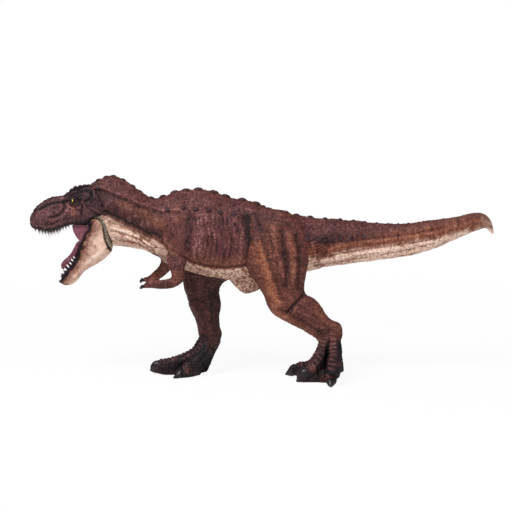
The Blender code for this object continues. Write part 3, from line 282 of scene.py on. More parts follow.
# %% [markdown]
# ## The photograph's side view
#
# Folds, spots and the borders of the paint are drawn where the side view shows them. The lens is long
# and looks from 9 degrees above the horizon, so a point's place in the picture is a plain sum of its
# own coordinates. Both flanks are treated alike, as if each one faced the viewer.

# %% Side view
pixel = 0.668 * mm
view_rise = math.radians(9)
picture_middle_x = 262
picture_ground_y = 379


def side_view(points, near=True):
    """Picture coordinates of points: across is X over the pixel's size, and down is minus the height
    seen from the view's rise. With near, a point's side is turned towards the viewer first."""
    out = -np.abs(points[:, 1]) if near else points[:, 1]
    across = picture_middle_x + points[:, 0] / pixel
    down = picture_ground_y - (points[:, 2] * math.cos(view_rise) + out * math.sin(view_rise)) / pixel
    return np.stack((across, down), axis=1)


def smoothstep(low, high, value):
    """0 below low, 1 above high, and a smooth S between."""
    t = np.clip((value - low) / (high - low), 0, 1)
    return t * t * (3 - 2 * t)


def line_distance(seen, line):
    """The distance in pixels from each seen point to the nearest point of a drawn line."""
    line = np.asarray(line, float)
    start, step = line[:-1], np.diff(line, axis=0)
    away = seen[:, None, :] - start
    along = np.clip((away * step).sum(2) / (step**2).sum(1), 0, 1)
    return np.linalg.norm(away - along[:, :, None] * step, axis=2).min(1)


def below(seen, line, softness):
    """1 below a drawn line, 0 above it, soft over so many pixels."""
    line = np.asarray(line, float)
    level = np.interp(seen[:, 0], line[:, 0], line[:, 1])
    return smoothstep(-softness / 2, softness / 2, seen[:, 1] - level)


def stroke(seen, line, width):
    """A soft stroke along a drawn line: a bell curve of the distance over the width."""
    return np.exp(-((line_distance(seen, line) / width) ** 2))


# %% [markdown]
# ## Outlines to surfaces
#
# A body part is a run of outlines, so its surface is a function of two parameters: how far along the
# run, and how far round the outline. The table's rows are read from a smooth curve, which keeps the
# table short and the surface free of corners.

# %% Surfaces through outlines


def smooth_rows(rows, steps):
    """A smooth curve through the table's rows: each span is the cubic that leaves and meets the rows
    along the line between their neighbours."""
    rows = np.asarray(rows, float)
    ends = np.vstack((2 * rows[0] - rows[1], rows, 2 * rows[-1] - rows[-2]))
    at = np.linspace(0, len(rows) - 1, steps)
    start = np.minimum(at.astype(int), len(rows) - 2)
    t = (at - start)[:, None]
    a, b, c, d = (ends[start + step] for step in range(4))
    return 0.5 * (
        2 * b + (c - a) * t + (2 * a - 5 * b + 4 * c - d) * t**2 + (3 * b - a - 3 * c + d) * t**3
    )


def turns(sides):
    """The angles of points round an outline."""
    return np.linspace(0, 2 * np.pi, sides, endpoint=False)


def rings_of(rows, sides, upper=1.0, lower=1.0, egg=0.0):
    """Outlines through rows of (x, z, x, z, centre y, half width). Round the outline by an angle, the
    height is the sine and the reach the cosine, each raised to a power: 1 is an ellipse, 0 a box. Egg
    narrows the top and widens the foot."""
    angle = turns(sides)
    power = np.where(np.sin(angle) > 0, upper, lower)
    rise, reach = (np.sign(wave) * np.abs(wave) ** power for wave in (np.sin(angle), np.cos(angle)))
    middle = (rows[:, 0:2] + rows[:, 2:4]) / 2
    half = (rows[:, 0:2] - rows[:, 2:4]) / 2
    x, z = (middle[:, axis, None] + half[:, axis, None] * rise for axis in (0, 1))
    y = rows[:, 4:5] + rows[:, 5:6] * reach * (1 - egg * rise)
    return np.stack((x, y, z), axis=2)


def shell_of(rings):
    """Points and faces of a closed surface through outlines, with a flat face at each end."""
    count, sides = rings.shape[:2]
    index = np.arange(count * sides).reshape(count, sides)
    turned = np.roll(index, -1, axis=1)
    quads = np.stack((index[:-1], turned[:-1], turned[1:], index[1:]), axis=2).reshape(-1, 4)
    return rings.reshape(-1, 3), quads.tolist() + [index[0].tolist(), index[-1].tolist()]


def unit(vectors):
    """The same vectors at length one."""
    return vectors / np.linalg.norm(vectors, axis=-1, keepdims=True)


def run_along(line):
    """The length of a line of points from its start to each of them."""
    return np.concatenate(([0], np.cumsum(np.linalg.norm(np.diff(line, axis=0), axis=1))))


def hoops(spine, way, radius, sides, wide=1, tall=1, shift=0):
    """Ovals carried along a spine, square to its heading. The first axis of each is square to the given
    way too, the second to both, and a point is cosine times the one plus sine times the other."""
    heading = unit(np.gradient(spine, axis=0))
    first = unit(np.cross(heading, way))
    second = np.cross(heading, first)
    turn = turns(sides)[None, :, None]
    oval = wide * np.cos(turn) * first[:, None] + tall * np.sin(turn) * second[:, None]
    return (spine + shift * first)[:, None] + radius * oval


def joined(shells):
    """The points and faces of several closed shells as one list of each."""
    points, faces = [], []
    for shell_points, shell_faces in shells:
        first = sum(len(part) for part in points)
        points.append(np.asarray(shell_points, float))
        faces += [[first + corner for corner in face] for face in shell_faces]
    return np.vstack(points).tolist(), faces


def mesh_object(name, *shells):
    """One object of closed shells, with its faces turned out."""
    points, faces = joined(shells)
    mesh = bpy.data.meshes.new(name)
    mesh.from_pydata(points, [], faces)
    work = bmesh.new()
    work.from_mesh(mesh)
    bmesh.ops.recalc_face_normals(work, faces=work.faces)
    work.to_mesh(mesh)
    work.free()
    mesh.shade_smooth()
    thing = bpy.data.objects.new(name, mesh)
    bpy.context.scene.collection.objects.link(thing)
    return thing


def apply_modifiers(thing):
    """Replaces an object's mesh by the mesh that its modifiers make."""
    bpy.context.view_layer.update()
    made = bpy.data.meshes.new_from_object(thing.evaluated_get(bpy.context.evaluated_depsgraph_get()))
    thing.modifiers.clear()
    thing.data = made
    made.shade_smooth()
    return thing


def fuse(thing, grain):
    """Fuses overlapping shells into one even skin of small faces, as wide as the grain."""
    step = thing.modifiers.new("fuse", "REMESH")
    step.mode = "VOXEL"
    step.voxel_size = grain
    step.use_smooth_shade = True
    return apply_modifiers(thing)


def carve(thing, *tools, operation="DIFFERENCE"):
    """Takes the tools' room out of an object, or adds their shapes to it, and removes the tools."""
    for tool in tools:
        step = thing.modifiers.new(tool.name, "BOOLEAN")
        step.operation = operation
        step.solver = "EXACT"
        step.object = tool
    apply_modifiers(thing)
    for tool in tools:
        bpy.data.objects.remove(tool, do_unlink=True)
    return thing


def read_points(thing, layer="vertices", field="co"):
    """Every point's place, or another of its fields, as rows of three numbers."""
    values = np.empty(len(thing.data.vertices) * 3, np.float32)
    getattr(thing.data, layer).foreach_get(field, values)
    return values.reshape(-1, 3).astype(float)


def read_normals(thing):
    return read_points(thing, "vertex_normals", "vector")


def write_points(thing, points):
    thing.data.vertices.foreach_set("co", points.astype(np.float32).ravel())
    thing.data.update()


def relax(thing, rounds):
    """Moves each point halfway to the mean of its neighbours, so many times, all at once."""
    edges = np.empty(len(thing.data.edges) * 2, np.int32)
    thing.data.edges.foreach_get("vertices", edges)
    edges = edges.reshape(-1, 2)
    points = read_points(thing)
    count = np.bincount(edges.ravel(), minlength=len(points))[:, None]
    for _ in range(rounds):
        total = np.zeros_like(points)
        for axis in range(3):
            for near, far in ((0, 1), (1, 0)):
                total[:, axis] += np.bincount(edges[:, near], points[edges[:, far], axis], len(points))
        points += 0.5 * (total / count - points)
    write_points(thing, points)


# %% [markdown]
# ## Noise for folds and scales
#
# Skin is never even. Value noise gives slow swells, and cell noise gives rounded scales: each point of
# space belongs to the nearest of some scattered seeds, and the distance to it makes a dome.

# %% Noise as whole arrays


def scatter(cell, channel):
    """A repeatable number from 0 to 1 for each whole-number cell."""
    a, b, c = (cell[:, axis].astype(np.int64) for axis in range(3))
    h = (a * 73856093) ^ (b * 19349663) ^ (c * 83492791) ^ (channel * 2654435761)
    h = (h ^ (h >> 13)) * 1274126177 & 0xFFFFFFFF
    h = (h ^ (h >> 16)) * 668265263 & 0xFFFFFFFF
    return ((h ^ (h >> 15)) & 0xFFFFFF) / 0xFFFFFF


def swell(points, size, channel=0):
    """Value noise from -1 to 1: numbers on a grid of that size, blended smoothly between corners."""
    p = points / size
    cell = np.floor(p)
    t = p - cell
    t = t * t * (3 - 2 * t)
    total = np.zeros(len(points))
    for corner in np.ndindex(2, 2, 2):
        weight = np.prod(np.where(corner, t, 1 - t), axis=1)
        total += weight * scatter(cell + corner, channel)
    return 2 * total - 1


def scales(points, size, channel=0):
    """Rounded scales from 0 in the creases to 1 on top: one minus the ratio of the distances to the
    nearest and the second nearest of seeds scattered one to a cell."""
    p = points / size
    cell = np.floor(p)
    first = np.full(len(points), 9.0)
    second = first.copy()
    for corner in np.ndindex(3, 3, 3):
        place = cell + corner - 1
        seed = place + np.stack([scatter(place, channel + axis) for axis in range(3)], axis=1)
        away = np.linalg.norm(p - seed, axis=1)
        second = np.minimum(second, np.maximum(first, away))
        first = np.minimum(first, away)
    return 1 - first / second


def wrinkles(points, pitch, slope, channel=0, reach=4.5):
    """Wandering creases, 1 in a crease and 0 between them: the lines where noise passes zero, with the
    noise drawn out along a heading that falls by slope degrees towards the tail in the side view."""
    turn = math.radians(slope)
    along = points[:, 0] * math.cos(turn) - points[:, 2] * math.sin(turn)
    across = points[:, 0] * math.sin(turn) + points[:, 2] * math.cos(turn)
    bent = np.stack((along / reach, points[:, 1] / 2.5, across), axis=1)
    height = swell(bent, pitch, channel) + 0.4 * swell(bent, pitch / 2.2, channel + 1)
    return np.exp(-((height / 0.16) ** 2))


# %% [markdown]
# ## Paint
#
# The vinyl is cast brown. Cream paint covers the belly and throat, a tan spray softens its border,
# near-black navy is sprayed over the crest, lips, spots and feet, a thin dark wash lies in every fold,
# and a dry brush rubs the raised parts pale. Each coat is a number from 0 to 1 on the skin's points.
# The finish mixes its colours by them, so that the fine grain can follow in the material.
# Some strokes are painted shade rather than paint: navy and wash in the grooves behind the shoulder and
# before the thigh, navy where the head overhangs the neck, wash along the thigh's rear edge, navy over
# the far leg, wash at the top of the mouth's lining, the teeth's dark edges and the dark flap at the
# hinge. Less wash under the tail paints light onto its underside.

# %% Colours and node helper


def linear(hex_colour):
    """An sRGB colour written as #rrggbb, as linear red, green, blue and alpha."""
    parts = [int(hex_colour[at : at + 2], 16) / 255 for at in (1, 3, 5)]
    curve = [part / 12.92 if part <= 0.04045 else ((part + 0.055) / 1.055) ** 2.4 for part in parts]
    return curve + [1]


def add_node(tree, kind, links=(), stops=(), **settings):
    """Adds a node, sets its properties and sockets, and links (input, node, output) triples. A socket
    is named by its own name or its number, with spaces written as underscores. Stops are a ramp's
    colours, from its low end to its high end, each (position, sRGB hex)."""
    node = tree.nodes.new("ShaderNode" + kind)
    for name, value in settings.items():
        if name.startswith("in_"):
            key = name[3:]
            socket = node.inputs[int(key)] if key.isdigit() else node.inputs[key.replace("_", " ")]
            socket.default_value = value
        else:
            setattr(node, name, value)
    for socket, source, output in links:
        tree.links.new(source.outputs[output], node.inputs[socket])
    if stops:
        ramp = node.color_ramp.elements
        for element, (position, colour) in zip(ramp, (stops[0], stops[-1])):
            element.position, element.color = position, linear(colour)
        for position, colour in stops[1:-1]:
            ramp.new(position).color = linear(colour)
    return node


def new_material(name, **sockets):
    """A material with a Principled BSDF whose own sockets are set."""
    material = bpy.data.materials.new(name)
    material.use_nodes = True
    shader = material.node_tree.nodes["Principled BSDF"]
    for key, value in sockets.items():
        shader.inputs[key.replace("_", " ")].default_value = value
    return material, material.node_tree, shader


def wire(tree, shader, **sources):
    """Links the first output of each node to the shader's socket of that name."""
    for name, node in sources.items():
        tree.links.new(node.outputs[0], shader.inputs[name.replace("_", " ")])


def paint(thing, **coats):
    """Writes each coat as a number on every point."""
    for name, amount in coats.items():
        layer = thing.data.attributes.new(name, "FLOAT", "POINT")
        layer.data.foreach_set("value", np.clip(amount, 0, 1).astype(np.float32))


# %% [markdown]
# ### The vinyl's finish
#
# One function makes every skin's material. It reads the coats from the points, and adds the grain that
# is too fine for the mesh: small scales from a Voronoi texture, and blotches from noise. A wash is
# darkest in the creases between scales, and a dry brush is lightest on their tops, so the same height
# drives both the colour and the bump.

# %% Skin material
coat_colours = {
    "tan": ("#471f16", "#874e37", "#b27a55"),
    "pale": ("#8a5a48", "#e2c0ad", "#fcf0e7"),
    "navy": ("#040207", "#1a0a11", "#4c303a"),
}
scale_width = 1.35 * mm
blotch_width = 9 * mm
fibre_width = 1.7 * mm
coat_stops = (0.1, 0.55, 0.92)
sheen_level = 0.22


def skin_material(
    name, brown, roughness=0.5, relief=0.3 * mm, stretch=(1, 1, 0.4), scale_depth=0.28, blotching=0.9
):
    """Painted vinyl. Each coat has a cavity, a middle and a ridge colour, chosen by the height of the
    scales, the fibres and the blotches, less the wash and plus the dry brush. The coats are then laid
    over each other by the skin's own numbers."""
    material, tree, shader = new_material(
        name, Roughness=roughness, IOR=1.5, Specular_IOR_Level=sheen_level
    )
    on_skin = [("Vector", add_node(tree, "TexCoord"), "Object")]
    along = [("Vector", add_node(tree, "Mapping", on_skin, in_Scale=stretch), 0)]
    cells = add_node(
        tree, "TexVoronoi", on_skin, feature="SMOOTH_F1", in_Scale=1 / scale_width, in_Smoothness=0.2
    )
    blotch = add_node(tree, "TexNoise", on_skin, in_Scale=1 / blotch_width, in_Detail=3.0)
    fibre = add_node(tree, "TexNoise", along, in_Scale=1 / fibre_width, in_Detail=4, in_Roughness=0.65)
    dome = add_node(
        tree, "MapRange", [("Value", cells, "Distance")], in_1=0.7, in_2=0.1, in_3=-scale_depth,
        in_4=scale_depth,
    )
    grain = add_node(
        tree, "Math", [(0, fibre, "Fac"), (2, dome, 0)], operation="MULTIPLY_ADD", in_1=1.5
    )
    height = add_node(
        tree, "Math", [(0, blotch, "Fac"), (2, grain, 0)], operation="MULTIPLY_ADD", in_1=blotching
    )
    wash, rub = (add_node(tree, "Attribute", attribute_name=coat) for coat in ("wash", "rub"))
    rubbed = add_node(tree, "Math", [(0, height, 0), (1, rub, "Fac")], operation="ADD")
    washed = add_node(tree, "Math", [(0, rubbed, 0), (1, wash, "Fac")], operation="SUBTRACT")
    tone = add_node(tree, "MapRange", [("Value", washed, 0)], in_1=0.2, in_2=2.0)
    colour, output = None, 0
    for coat, colours in {"brown": brown, **coat_colours}.items():
        ramp = add_node(tree, "ValToRGB", [("Fac", tone, 0)], tuple(zip(coat_stops, colours)))
        if colour is None:
            colour = ramp
            continue
        amount = add_node(tree, "Attribute", attribute_name=coat)
        links = [(0, amount, "Fac"), (6, colour, output), (7, ramp, 0)]
        colour, output = add_node(tree, "Mix", links, data_type="RGBA"), 2
    tree.links.new(colour.outputs[output], shader.inputs["Base Color"])
    dull, shiny = roughness + 0.16, roughness - 0.08
    rough = add_node(tree, "MapRange", [("Value", tone, 0)], in_3=dull, in_4=shiny)
    bump = add_node(tree, "Bump", [("Height", grain, 0)], in_Strength=1.0, in_Distance=relief)
    wire(tree, shader, Roughness=rough, Normal=bump)
    return material


back_vinyl = skin_material("painted vinyl, brown", ("#2a1114", "#633735", "#94696a"))
leg_vinyl = skin_material(
    "painted vinyl, dark brown", ("#240e0e", "#60332d", "#8c5a4e"), stretch=(0.35, 1, 1)
)
head_vinyl = skin_material(
    "painted vinyl, brown head", ("#2c151a", "#684041", "#94696c"), 0.52, 0.22 * mm, (1, 1, 1)
)
jaw_vinyl = skin_material(
    "painted vinyl, brown to cream jaw", ("#2a1318", "#60393a", "#8a6366"), 0.46, 0.12 * mm,
    (0.45, 1, 0.45), 0.07, 0.6,
)
print("skin materials", back_vinyl.name, "and", leg_vinyl.name)

# %% [markdown]
# ## Camera, floor and light
#
# The figure stands on a pale floor under soft studio light. A long lens at 9 degrees keeps the picture
# close to a plain side view. The world is plain white to the camera and a little darker to the figure,
# and a soft lamp high at the front gives it shape, with a weak one opposite. The floor is opaque under
# the figure and fades out around it, so that no horizon shows.

# %% Camera and light
view_distance = 1.9
lens = 200
sensor_width = 36
view_middle = Vector((-0.004, 0, 0.0832))
camera_data = bpy.data.cameras.new("camera")
camera_data.lens = lens
camera_data.sensor_width = sensor_width
camera_data.clip_end = 20
camera = bpy.data.objects.new("camera", camera_data)
camera.location = view_middle + view_distance * Vector((0, -math.cos(view_rise), math.sin(view_rise)))
camera.rotation_euler = (math.pi / 2 - view_rise, 0, 0)
bpy.context.scene.collection.objects.link(camera)
bpy.context.scene.camera = camera
bpy.context.scene.view_settings.view_transform = "Standard"


def lamp(name, place, size, power):
    """A soft square lamp that faces the figure's middle."""
    data = bpy.data.lights.new(name, "AREA")
    data.size, data.energy = size, power
    thing = bpy.data.objects.new(name, data)
    thing.location = place
    thing.rotation_euler = (view_middle - Vector(place)).to_track_quat("-Z", "Y").to_euler()
    bpy.context.scene.collection.objects.link(thing)


lamp("key lamp", (-0.75, -1.05, 1.5), 0.8, 39)
lamp("fill lamp", (1.1, -1.0, 0.6), 1.0, 6)
world = bpy.data.worlds.new("studio")
world.use_nodes = True
bpy.context.scene.world = world
tree = world.node_tree
tree.nodes.clear()
path = add_node(tree, "LightPath")
seen_plain = add_node(
    tree, "Math", [(0, path, "Is Camera Ray"), (1, path, "Is Transmission Ray")], operation="MAXIMUM"
)
dim = add_node(tree, "Background", in_Color=(1, 1, 1, 1), in_Strength=0.27)
white = add_node(tree, "Background", in_Color=(1, 1, 1, 1), in_Strength=1.0)
sky = add_node(tree, "MixShader", [(0, seen_plain, 0), (1, dim, 0), (2, white, 0)])
add_node(tree, "OutputWorld", [("Surface", sky, 0)])

# %% Floor
floor_radius = 1.2
ring_radius = floor_radius * np.linspace(0.001, 1, 24)[:, None]
turn = turns(96)
disc = ring_radius[:, :, None] * np.stack((np.cos(turn), np.sin(turn), 0 * turn), axis=1)
disc_points, disc_faces = shell_of(disc)
floor = mesh_object("floor", (disc_points, disc_faces[:-1]))
floor_paint, tree, shader = new_material("matt white card", Roughness=0.9, Base_Color=linear("#f6f5f3"))
place = add_node(tree, "TexCoord")
away = add_node(tree, "VectorMath", [(0, place, "Object")], operation="LENGTH")
fade = add_node(
    tree, "MapRange", [("Value", away, "Value")], interpolation_type="SMOOTHSTEP", in_1=0.18, in_2=0.5
)
path = add_node(tree, "LightPath")
paler = add_node(tree, "Math", [(0, path, "Is Camera Ray")], operation="MULTIPLY", in_1=0.92)
glow = add_node(tree, "Emission", in_Color=(1, 1, 1, 1), in_Strength=1.0)
seen_card = add_node(tree, "MixShader", [(0, paler, 0), (1, shader, 0), (2, glow, 0)])
clear = add_node(tree, "BsdfTransparent")
card = add_node(tree, "MixShader", [(0, fade, 0), (1, seen_card, 0), (2, clear, 0)])
wire(tree, tree.nodes["Material Output"], Surface=card)
floor.data.materials.append(floor_paint)
print("camera sees", round(view_distance * sensor_width / lens / mm), "mm across")

# %% [markdown]
# ## Neck and trunk
#
# The trunk is one moulding from the neck to the tail's root. Its skin is the run of outlines with a few
# swellings for the shoulders and hips, fused with the keel between the thighs. The folds are drawn as
# lines in the side view, and each one presses a soft furrow or raises a soft ridge.

# %% Torso outlines


def body_rows(table, steps, sizes, origin=(0, 0)):
    """A table's rows in metres, on the figure's middle plane. Sizes are (along, up, across)."""
    along, up, across = sizes
    rows = smooth_rows(table, steps) * (along, up, along, up, across)
    return np.insert(rows + (*origin, *origin, 0), 4, 0, axis=1)


def torso_rows(table, steps):
    return body_rows(table, steps, (torso_length, torso_depth, torso_half_width), (neck_x, axis_height))


def torso_rings(steps, sides):
    """The trunk's surface. Each swelling adds a bell curve of the place along and up to the width."""
    rows = torso_rows(torso_shares, steps)
    rings = rings_of(rows, sides, egg=0.12)
    side = rings[:, :, 1:2] / rows[:, 5][:, None, None]
    for along, up, reach_along, reach_up, height in flank_shares:
        dx = (rings[:, :, 0:1] - neck_x - along * torso_length) / (reach_along * torso_length)
        dz = (rings[:, :, 2:3] - axis_height - up * torso_depth) / (reach_up * torso_depth)
        rings[:, :, 1:2] += side * height * torso_half_width * np.exp(-(dx**2) - dz**2)
    return rings


def tail_rows(steps):
    root = (tail_root_x + seat_gap, axis_height)
    return body_rows(tail_shares, steps, (tail_length, torso_depth, torso_half_width), root)


def leg_rows(table, side, steps):
    """A leg's outlines. Their heights are shares of the way from the floor to two marks on the body."""
    rows = smooth_rows(table, steps)
    up = rows[:, [1, 3]]
    low, high = axis_height + torso_depth * np.array(leg_mark_rise_shares)
    rows[:, [0, 2]] = hip_x + leg_reach * rows[:, [0, 2]]
    rows[:, [1, 3]] = np.interp(up, (0, *leg_mark_shares), (0, low, high))
    rows[:, [1, 3]] += np.minimum(up, 0) * leg_length
    return rows * (1, 1, 1, 1, side * stance_half_width, leg_half_width)


def arm_rows(table, side, steps):
    rows = smooth_rows(table, steps) * (*[arm_length] * 4, side * shoulder_half_width, arm_half_width)
    return rows + (shoulder_x, shoulder_z, shoulder_x, shoulder_z, 0, 0)


def upright_ovals(centre, reach, rise, sides):
    """Ovals carried along a path, square to its heading in the floor's plane."""
    heading = unit(np.gradient(centre[:, 0:2], axis=0))
    angle = turns(sides)
    reach, rise = reach * np.cos(angle), rise * np.sin(angle)
    x = centre[:, 0:1] - heading[:, 1:2] * reach
    y = centre[:, 1:2] + heading[:, 0:1] * reach
    return np.stack((x, y, centre[:, 2:3] + rise), axis=2)


def digit_rings(table, start, along, length, side, steps, sides):
    """A toe or a finger: rows of (along, across, up, half height, half width) from its start."""
    rows = smooth_rows(table, steps)
    centre = rows[:, 0:3] * (along, side * length, length) + start
    return upright_ovals(centre, rows[:, 4:5] * length, rows[:, 3:4] * length, sides)


def tree_of(*shells):
    """A search tree over closed shells, to find the places where a line meets them."""
    return BVHTree.FromPolygons(*joined(shells))


def gap_to(points, others, reach, slab=2.5 * mm):
    """The distance from each point to the nearest of the other points, up to the reach, found in slabs
    along the figure so that each step compares only neighbours."""
    gap = np.full(len(points), reach)
    low, high = others.min(axis=0) - reach, others.max(axis=0) + reach
    beside = np.all((points > low) & (points < high), axis=1)
    for x in np.arange(low[0], high[0], slab):
        mine = np.flatnonzero(beside & (points[:, 0] >= x) & (points[:, 0] < x + slab))
        a, b = points[mine], others[(others[:, 0] > x - reach) & (others[:, 0] < x + slab + reach)]
        if len(a) and len(b):
            square = (a**2).sum(axis=1)[:, None] + (b**2).sum(axis=1) - 2 * a @ b.T
            gap[mine] = np.minimum(reach, np.sqrt(np.maximum(square.min(axis=1), 0)))
    return gap


def fillet(thing, others, reach):
    """Pushes a skin out where it nears another one, by the square of how much nearer it is than the
    reach, over four reaches. Two skins that both do so meet in a soft crease."""
    points = read_points(thing)
    push = (reach - gap_to(points, others, reach)) ** 2 / (4 * reach)
    write_points(thing, points + read_normals(thing) * push[:, None])


def drawn(seen, folds):
    """Relief in metres and wash from a list of (height in mm, width in pixels, wash, line)."""
    relief, wash = np.zeros(len(seen)), np.zeros(len(seen))
    for height, width, dark, line in folds:
        amount = stroke(seen, line, width)
        relief += height * mm * amount
        wash += dark * amount
    return relief, wash


def most(under, seen=None, strokes=()):
    """The most, at each point, of some coats and of strokes of (amount, width, line) over them."""
    drawn_coats = [amount * stroke(seen, line, width) for amount, width, line in strokes]
    return np.maximum.reduce([*under, *drawn_coats])


def patches(points, size, low, high, channel):
    """Cloudy patches of paint: where slow noise passes from low to high."""
    return smoothstep(low, high, swell(points, size, channel))


def across_at(px):
    """The x of a column of the side view."""
    return (px - picture_middle_x) * pixel


def height_at(py, y):
    """The height of a row of the side view at a known distance across."""
    return ((picture_ground_y - py) * pixel - y * math.sin(view_rise)) / math.cos(view_rise)


def from_view(px, py, y):
    """The point at a place of the side view with a known distance across."""
    z = height_at(py, y)
    return np.stack((np.asarray(across_at(px)) + 0 * y, y + 0 * z, z), axis=-1)


def on_skin(tree, px, py, side):
    """The point and the outward normal of a skin at a place of the side view, on the given side."""
    away = 10 * mm
    for _ in range(3):
        start = Vector((across_at(px), side * 0.08, height_at(py, -away)))
        place, normal = tree.ray_cast(start, Vector((0, -side, 0)))[:2]
        if place is None:
            return None
        away = abs(place.y)
    normal = np.array(normal)
    return np.array(place), normal * (1 if normal[1] * side > 0 else -1)


def keep_in(points):
    """Keeps a skin a hair inside the solids' box."""
    return np.clip(points, np.array(box_low) + hair, np.array(box_high) - hair)


left_leg_rings = rings_of(leg_rows(left_leg_shares, -1, 160), 72)
right_leg_rings = rings_of(leg_rows(right_leg_shares, 1, 160), 72)
left_arm_rings = rings_of(arm_rows(left_arm_shares, -1, 90), 40)
right_arm_rings = rings_of(arm_rows(right_arm_shares, 1, 90), 40)
leg_points = np.vstack((left_leg_rings, right_leg_rings)).reshape(-1, 3)
arm_points = np.vstack((left_arm_rings, right_arm_rings)).reshape(-1, 3)
trunk = torso_rings(240, 120)
face = trunk[0]
high = smoothstep(hinge_z + 2 * mm, hinge_z + 9 * mm, face[:, 2])[:, None]
leads = []
for size, ahead in ((0.84, 3.4 * mm), (0.95, 2.0 * mm)):
    lead = face + high * (size - 1) * (face - face.mean(axis=0))
    leads.append(lead + high * ahead * np.array((neck_forward[0], 0, neck_forward[1])))
torso_shell = shell_of(np.vstack((leads, trunk)))
keel_shell = shell_of(rings_of(torso_rows(keel_shares, 60), 48))
torso_points = np.vstack((torso_shell[0], keel_shell[0]))
box_low, box_high = cad_box
print("box in mm", np.round(np.array(cad_box) / mm, 1))

# %% Torso folds, as (height in mm, width in pixels, wash, line)
rib_fold = np.array(((228.9, 228), (231.8, 238), (232, 248), (228.9, 259)))
nape_line = ((98, 187), (105, 189), (127.1, 197.6), (142.4, 204), (162.9, 210.8), (180, 210))
navy_band = ((107, 212), (113, 214.5), (122, 219), (132.2, 224.5), (147.6, 232.5), (160, 235.8))
torso_folds = [
    # The wash in the groove before the thigh (x 247) and in the one behind the shoulder (x 190) is
    # painted shade.
    (-1.0, 3.4, 1.0, ((246.5, 218), (248.5, 234.3), (249.5, 250.4), (248.4, 266))),
    (0.5, 3.0, 0, ((239, 216), (242, 234), (242, 252), (239, 264))),
    (-0.8, 5.0, 0.3, ((191, 218), (188.5, 232), (187.5, 250))),
    (0.7, 6.0, 0, ((202, 218), (199, 234), (198, 252))), (0.6, 1.5, -0.15, nape_line),
    (-0.45, 1.4, 0.3, [(x, y + 3.2) for x, y in nape_line]), (-0.6, 1.6, 0.1, navy_band),
    (0.45, 1.5, -0.1, ((108, 217), (122, 223), (134, 229.5), (147, 237), (158, 242))),
    (-0.5, 1.0, 0.55, ((110, 222), (124, 227.5), (136, 233), (148, 241), (157, 248))),
    (0.4, 1.4, 0, ((110, 227), (125, 231.5), (138, 237), (150, 245.5), (158, 253))),
    (-0.5, 1.0, 0.5, ((111, 231), (126, 234.5), (140, 240), (152, 249.5), (161, 260))),
    (0.35, 1.4, 0, ((112, 235), (128, 238), (142, 243.5), (154, 253))),
    (-0.45, 1.0, 0.45, ((120, 241), (134, 243), (147, 248), (157, 257), (168, 268))),
    (-0.4, 1.2, 0.35, ((160, 238), (166, 246), (172, 258), (176, 270))),
    (0.5, 2.4, 0, ((166, 240), (173, 250), (179, 262))),
    (
        -0.45, 1.4, 0.55,
        ((183, 257), (194.4, 263), (209.4, 266.6), (224.3, 267.8), (240, 265.6), (247, 265)),
    ),
    (0.55, 1.5, -0.2, ((184, 260.5), (194.4, 266), (209.4, 269.6), (224.3, 270.8), (240.4, 268.8))),
    (0.6, 1.5, -0.5, ((246, 209.2), (258.7, 211.9), (270.2, 215.3), (281.7, 219.4), (286.3, 220.5))),
    (-0.55, 2.2, 0.4, ((254, 214.5), (270, 219), (286, 223.5), (299, 232))),
    (-0.5, 1.6, 0.4, ((296, 234), (300, 246), (303, 256))),
]
for step in range(6):
    torso_folds.append((-0.34, 1.1, 0.28, rib_fold - (4.7 * step, 0.5 * step)))
    torso_folds.append((0.22, 1.2, 0, rib_fold - (4.7 * step + 2.3, 0.5 * step)))
for step in range(12):
    x = 196 + 3.9 * step
    torso_folds.append((-0.3, 0.8, 0.35, ((x, 217), (x + 0.8, 221), (x + 0.6, 226))))
torso_folds += [
    (
        -0.4, 1.1, 0.5,
        ((312, 258), (330, 256.5), (345, 253), (362, 250), (390, 246.5), (417, 242), (440, 238)),
    ),
    (0.35, 1.3, 0, ((314, 262), (332, 260), (350, 256), (380, 251), (410, 246), (436, 241))),
    (-0.4, 1.0, 0.45, ((314, 266), (335, 263), (355, 259.5), (385, 254.5), (412, 249.5), (432, 244))),
    (0.3, 1.2, 0, ((316, 270), (336, 266), (356, 262))),
    (
        0.4, 1.6, -0.15,
        ((330, 250), (341, 246), (362, 243), (389, 240), (417, 236), (440, 232), (462, 226)),
    ),
    (-0.35, 1.2, 0.3, ((318, 244), (341, 242), (362, 240), (389, 237), (417, 233), (440, 229))),
]
for step in range(8):
    y = 240 + 3.2 * step
    crease = ((302, 252 + 0.4 * step), (308, y + 2), (317, y), (327, y - 1 - step))
    torso_folds.append((-0.45, 0.9, 0.5, crease))
throat_edge = (
    (100, 214), (109.8, 218), (117, 222), (127, 227), (142.4, 235.3), (156.7, 241), (176, 254),
)
belly_edge = (
    (170, 256), (182.4, 259.6), (194.4, 265.3), (209.4, 268.7), (224.3, 269.9), (240.4, 267.6),
    (246.7, 266), (270, 262), (303, 257), (318, 256), (330, 254), (340.8, 249.6), (362.5, 246.4),
    (389.6, 243.1), (416.7, 238.8), (438.4, 235.5), (460, 229), (481.8, 225.8), (500, 225),
)
nape_edge = (
    (90, 188), (105, 189), (127, 199), (163, 211), (185, 209), (240, 214), (270, 219), (300, 231),
    (340, 234), (395, 229), (450, 219), (500, 210),
)


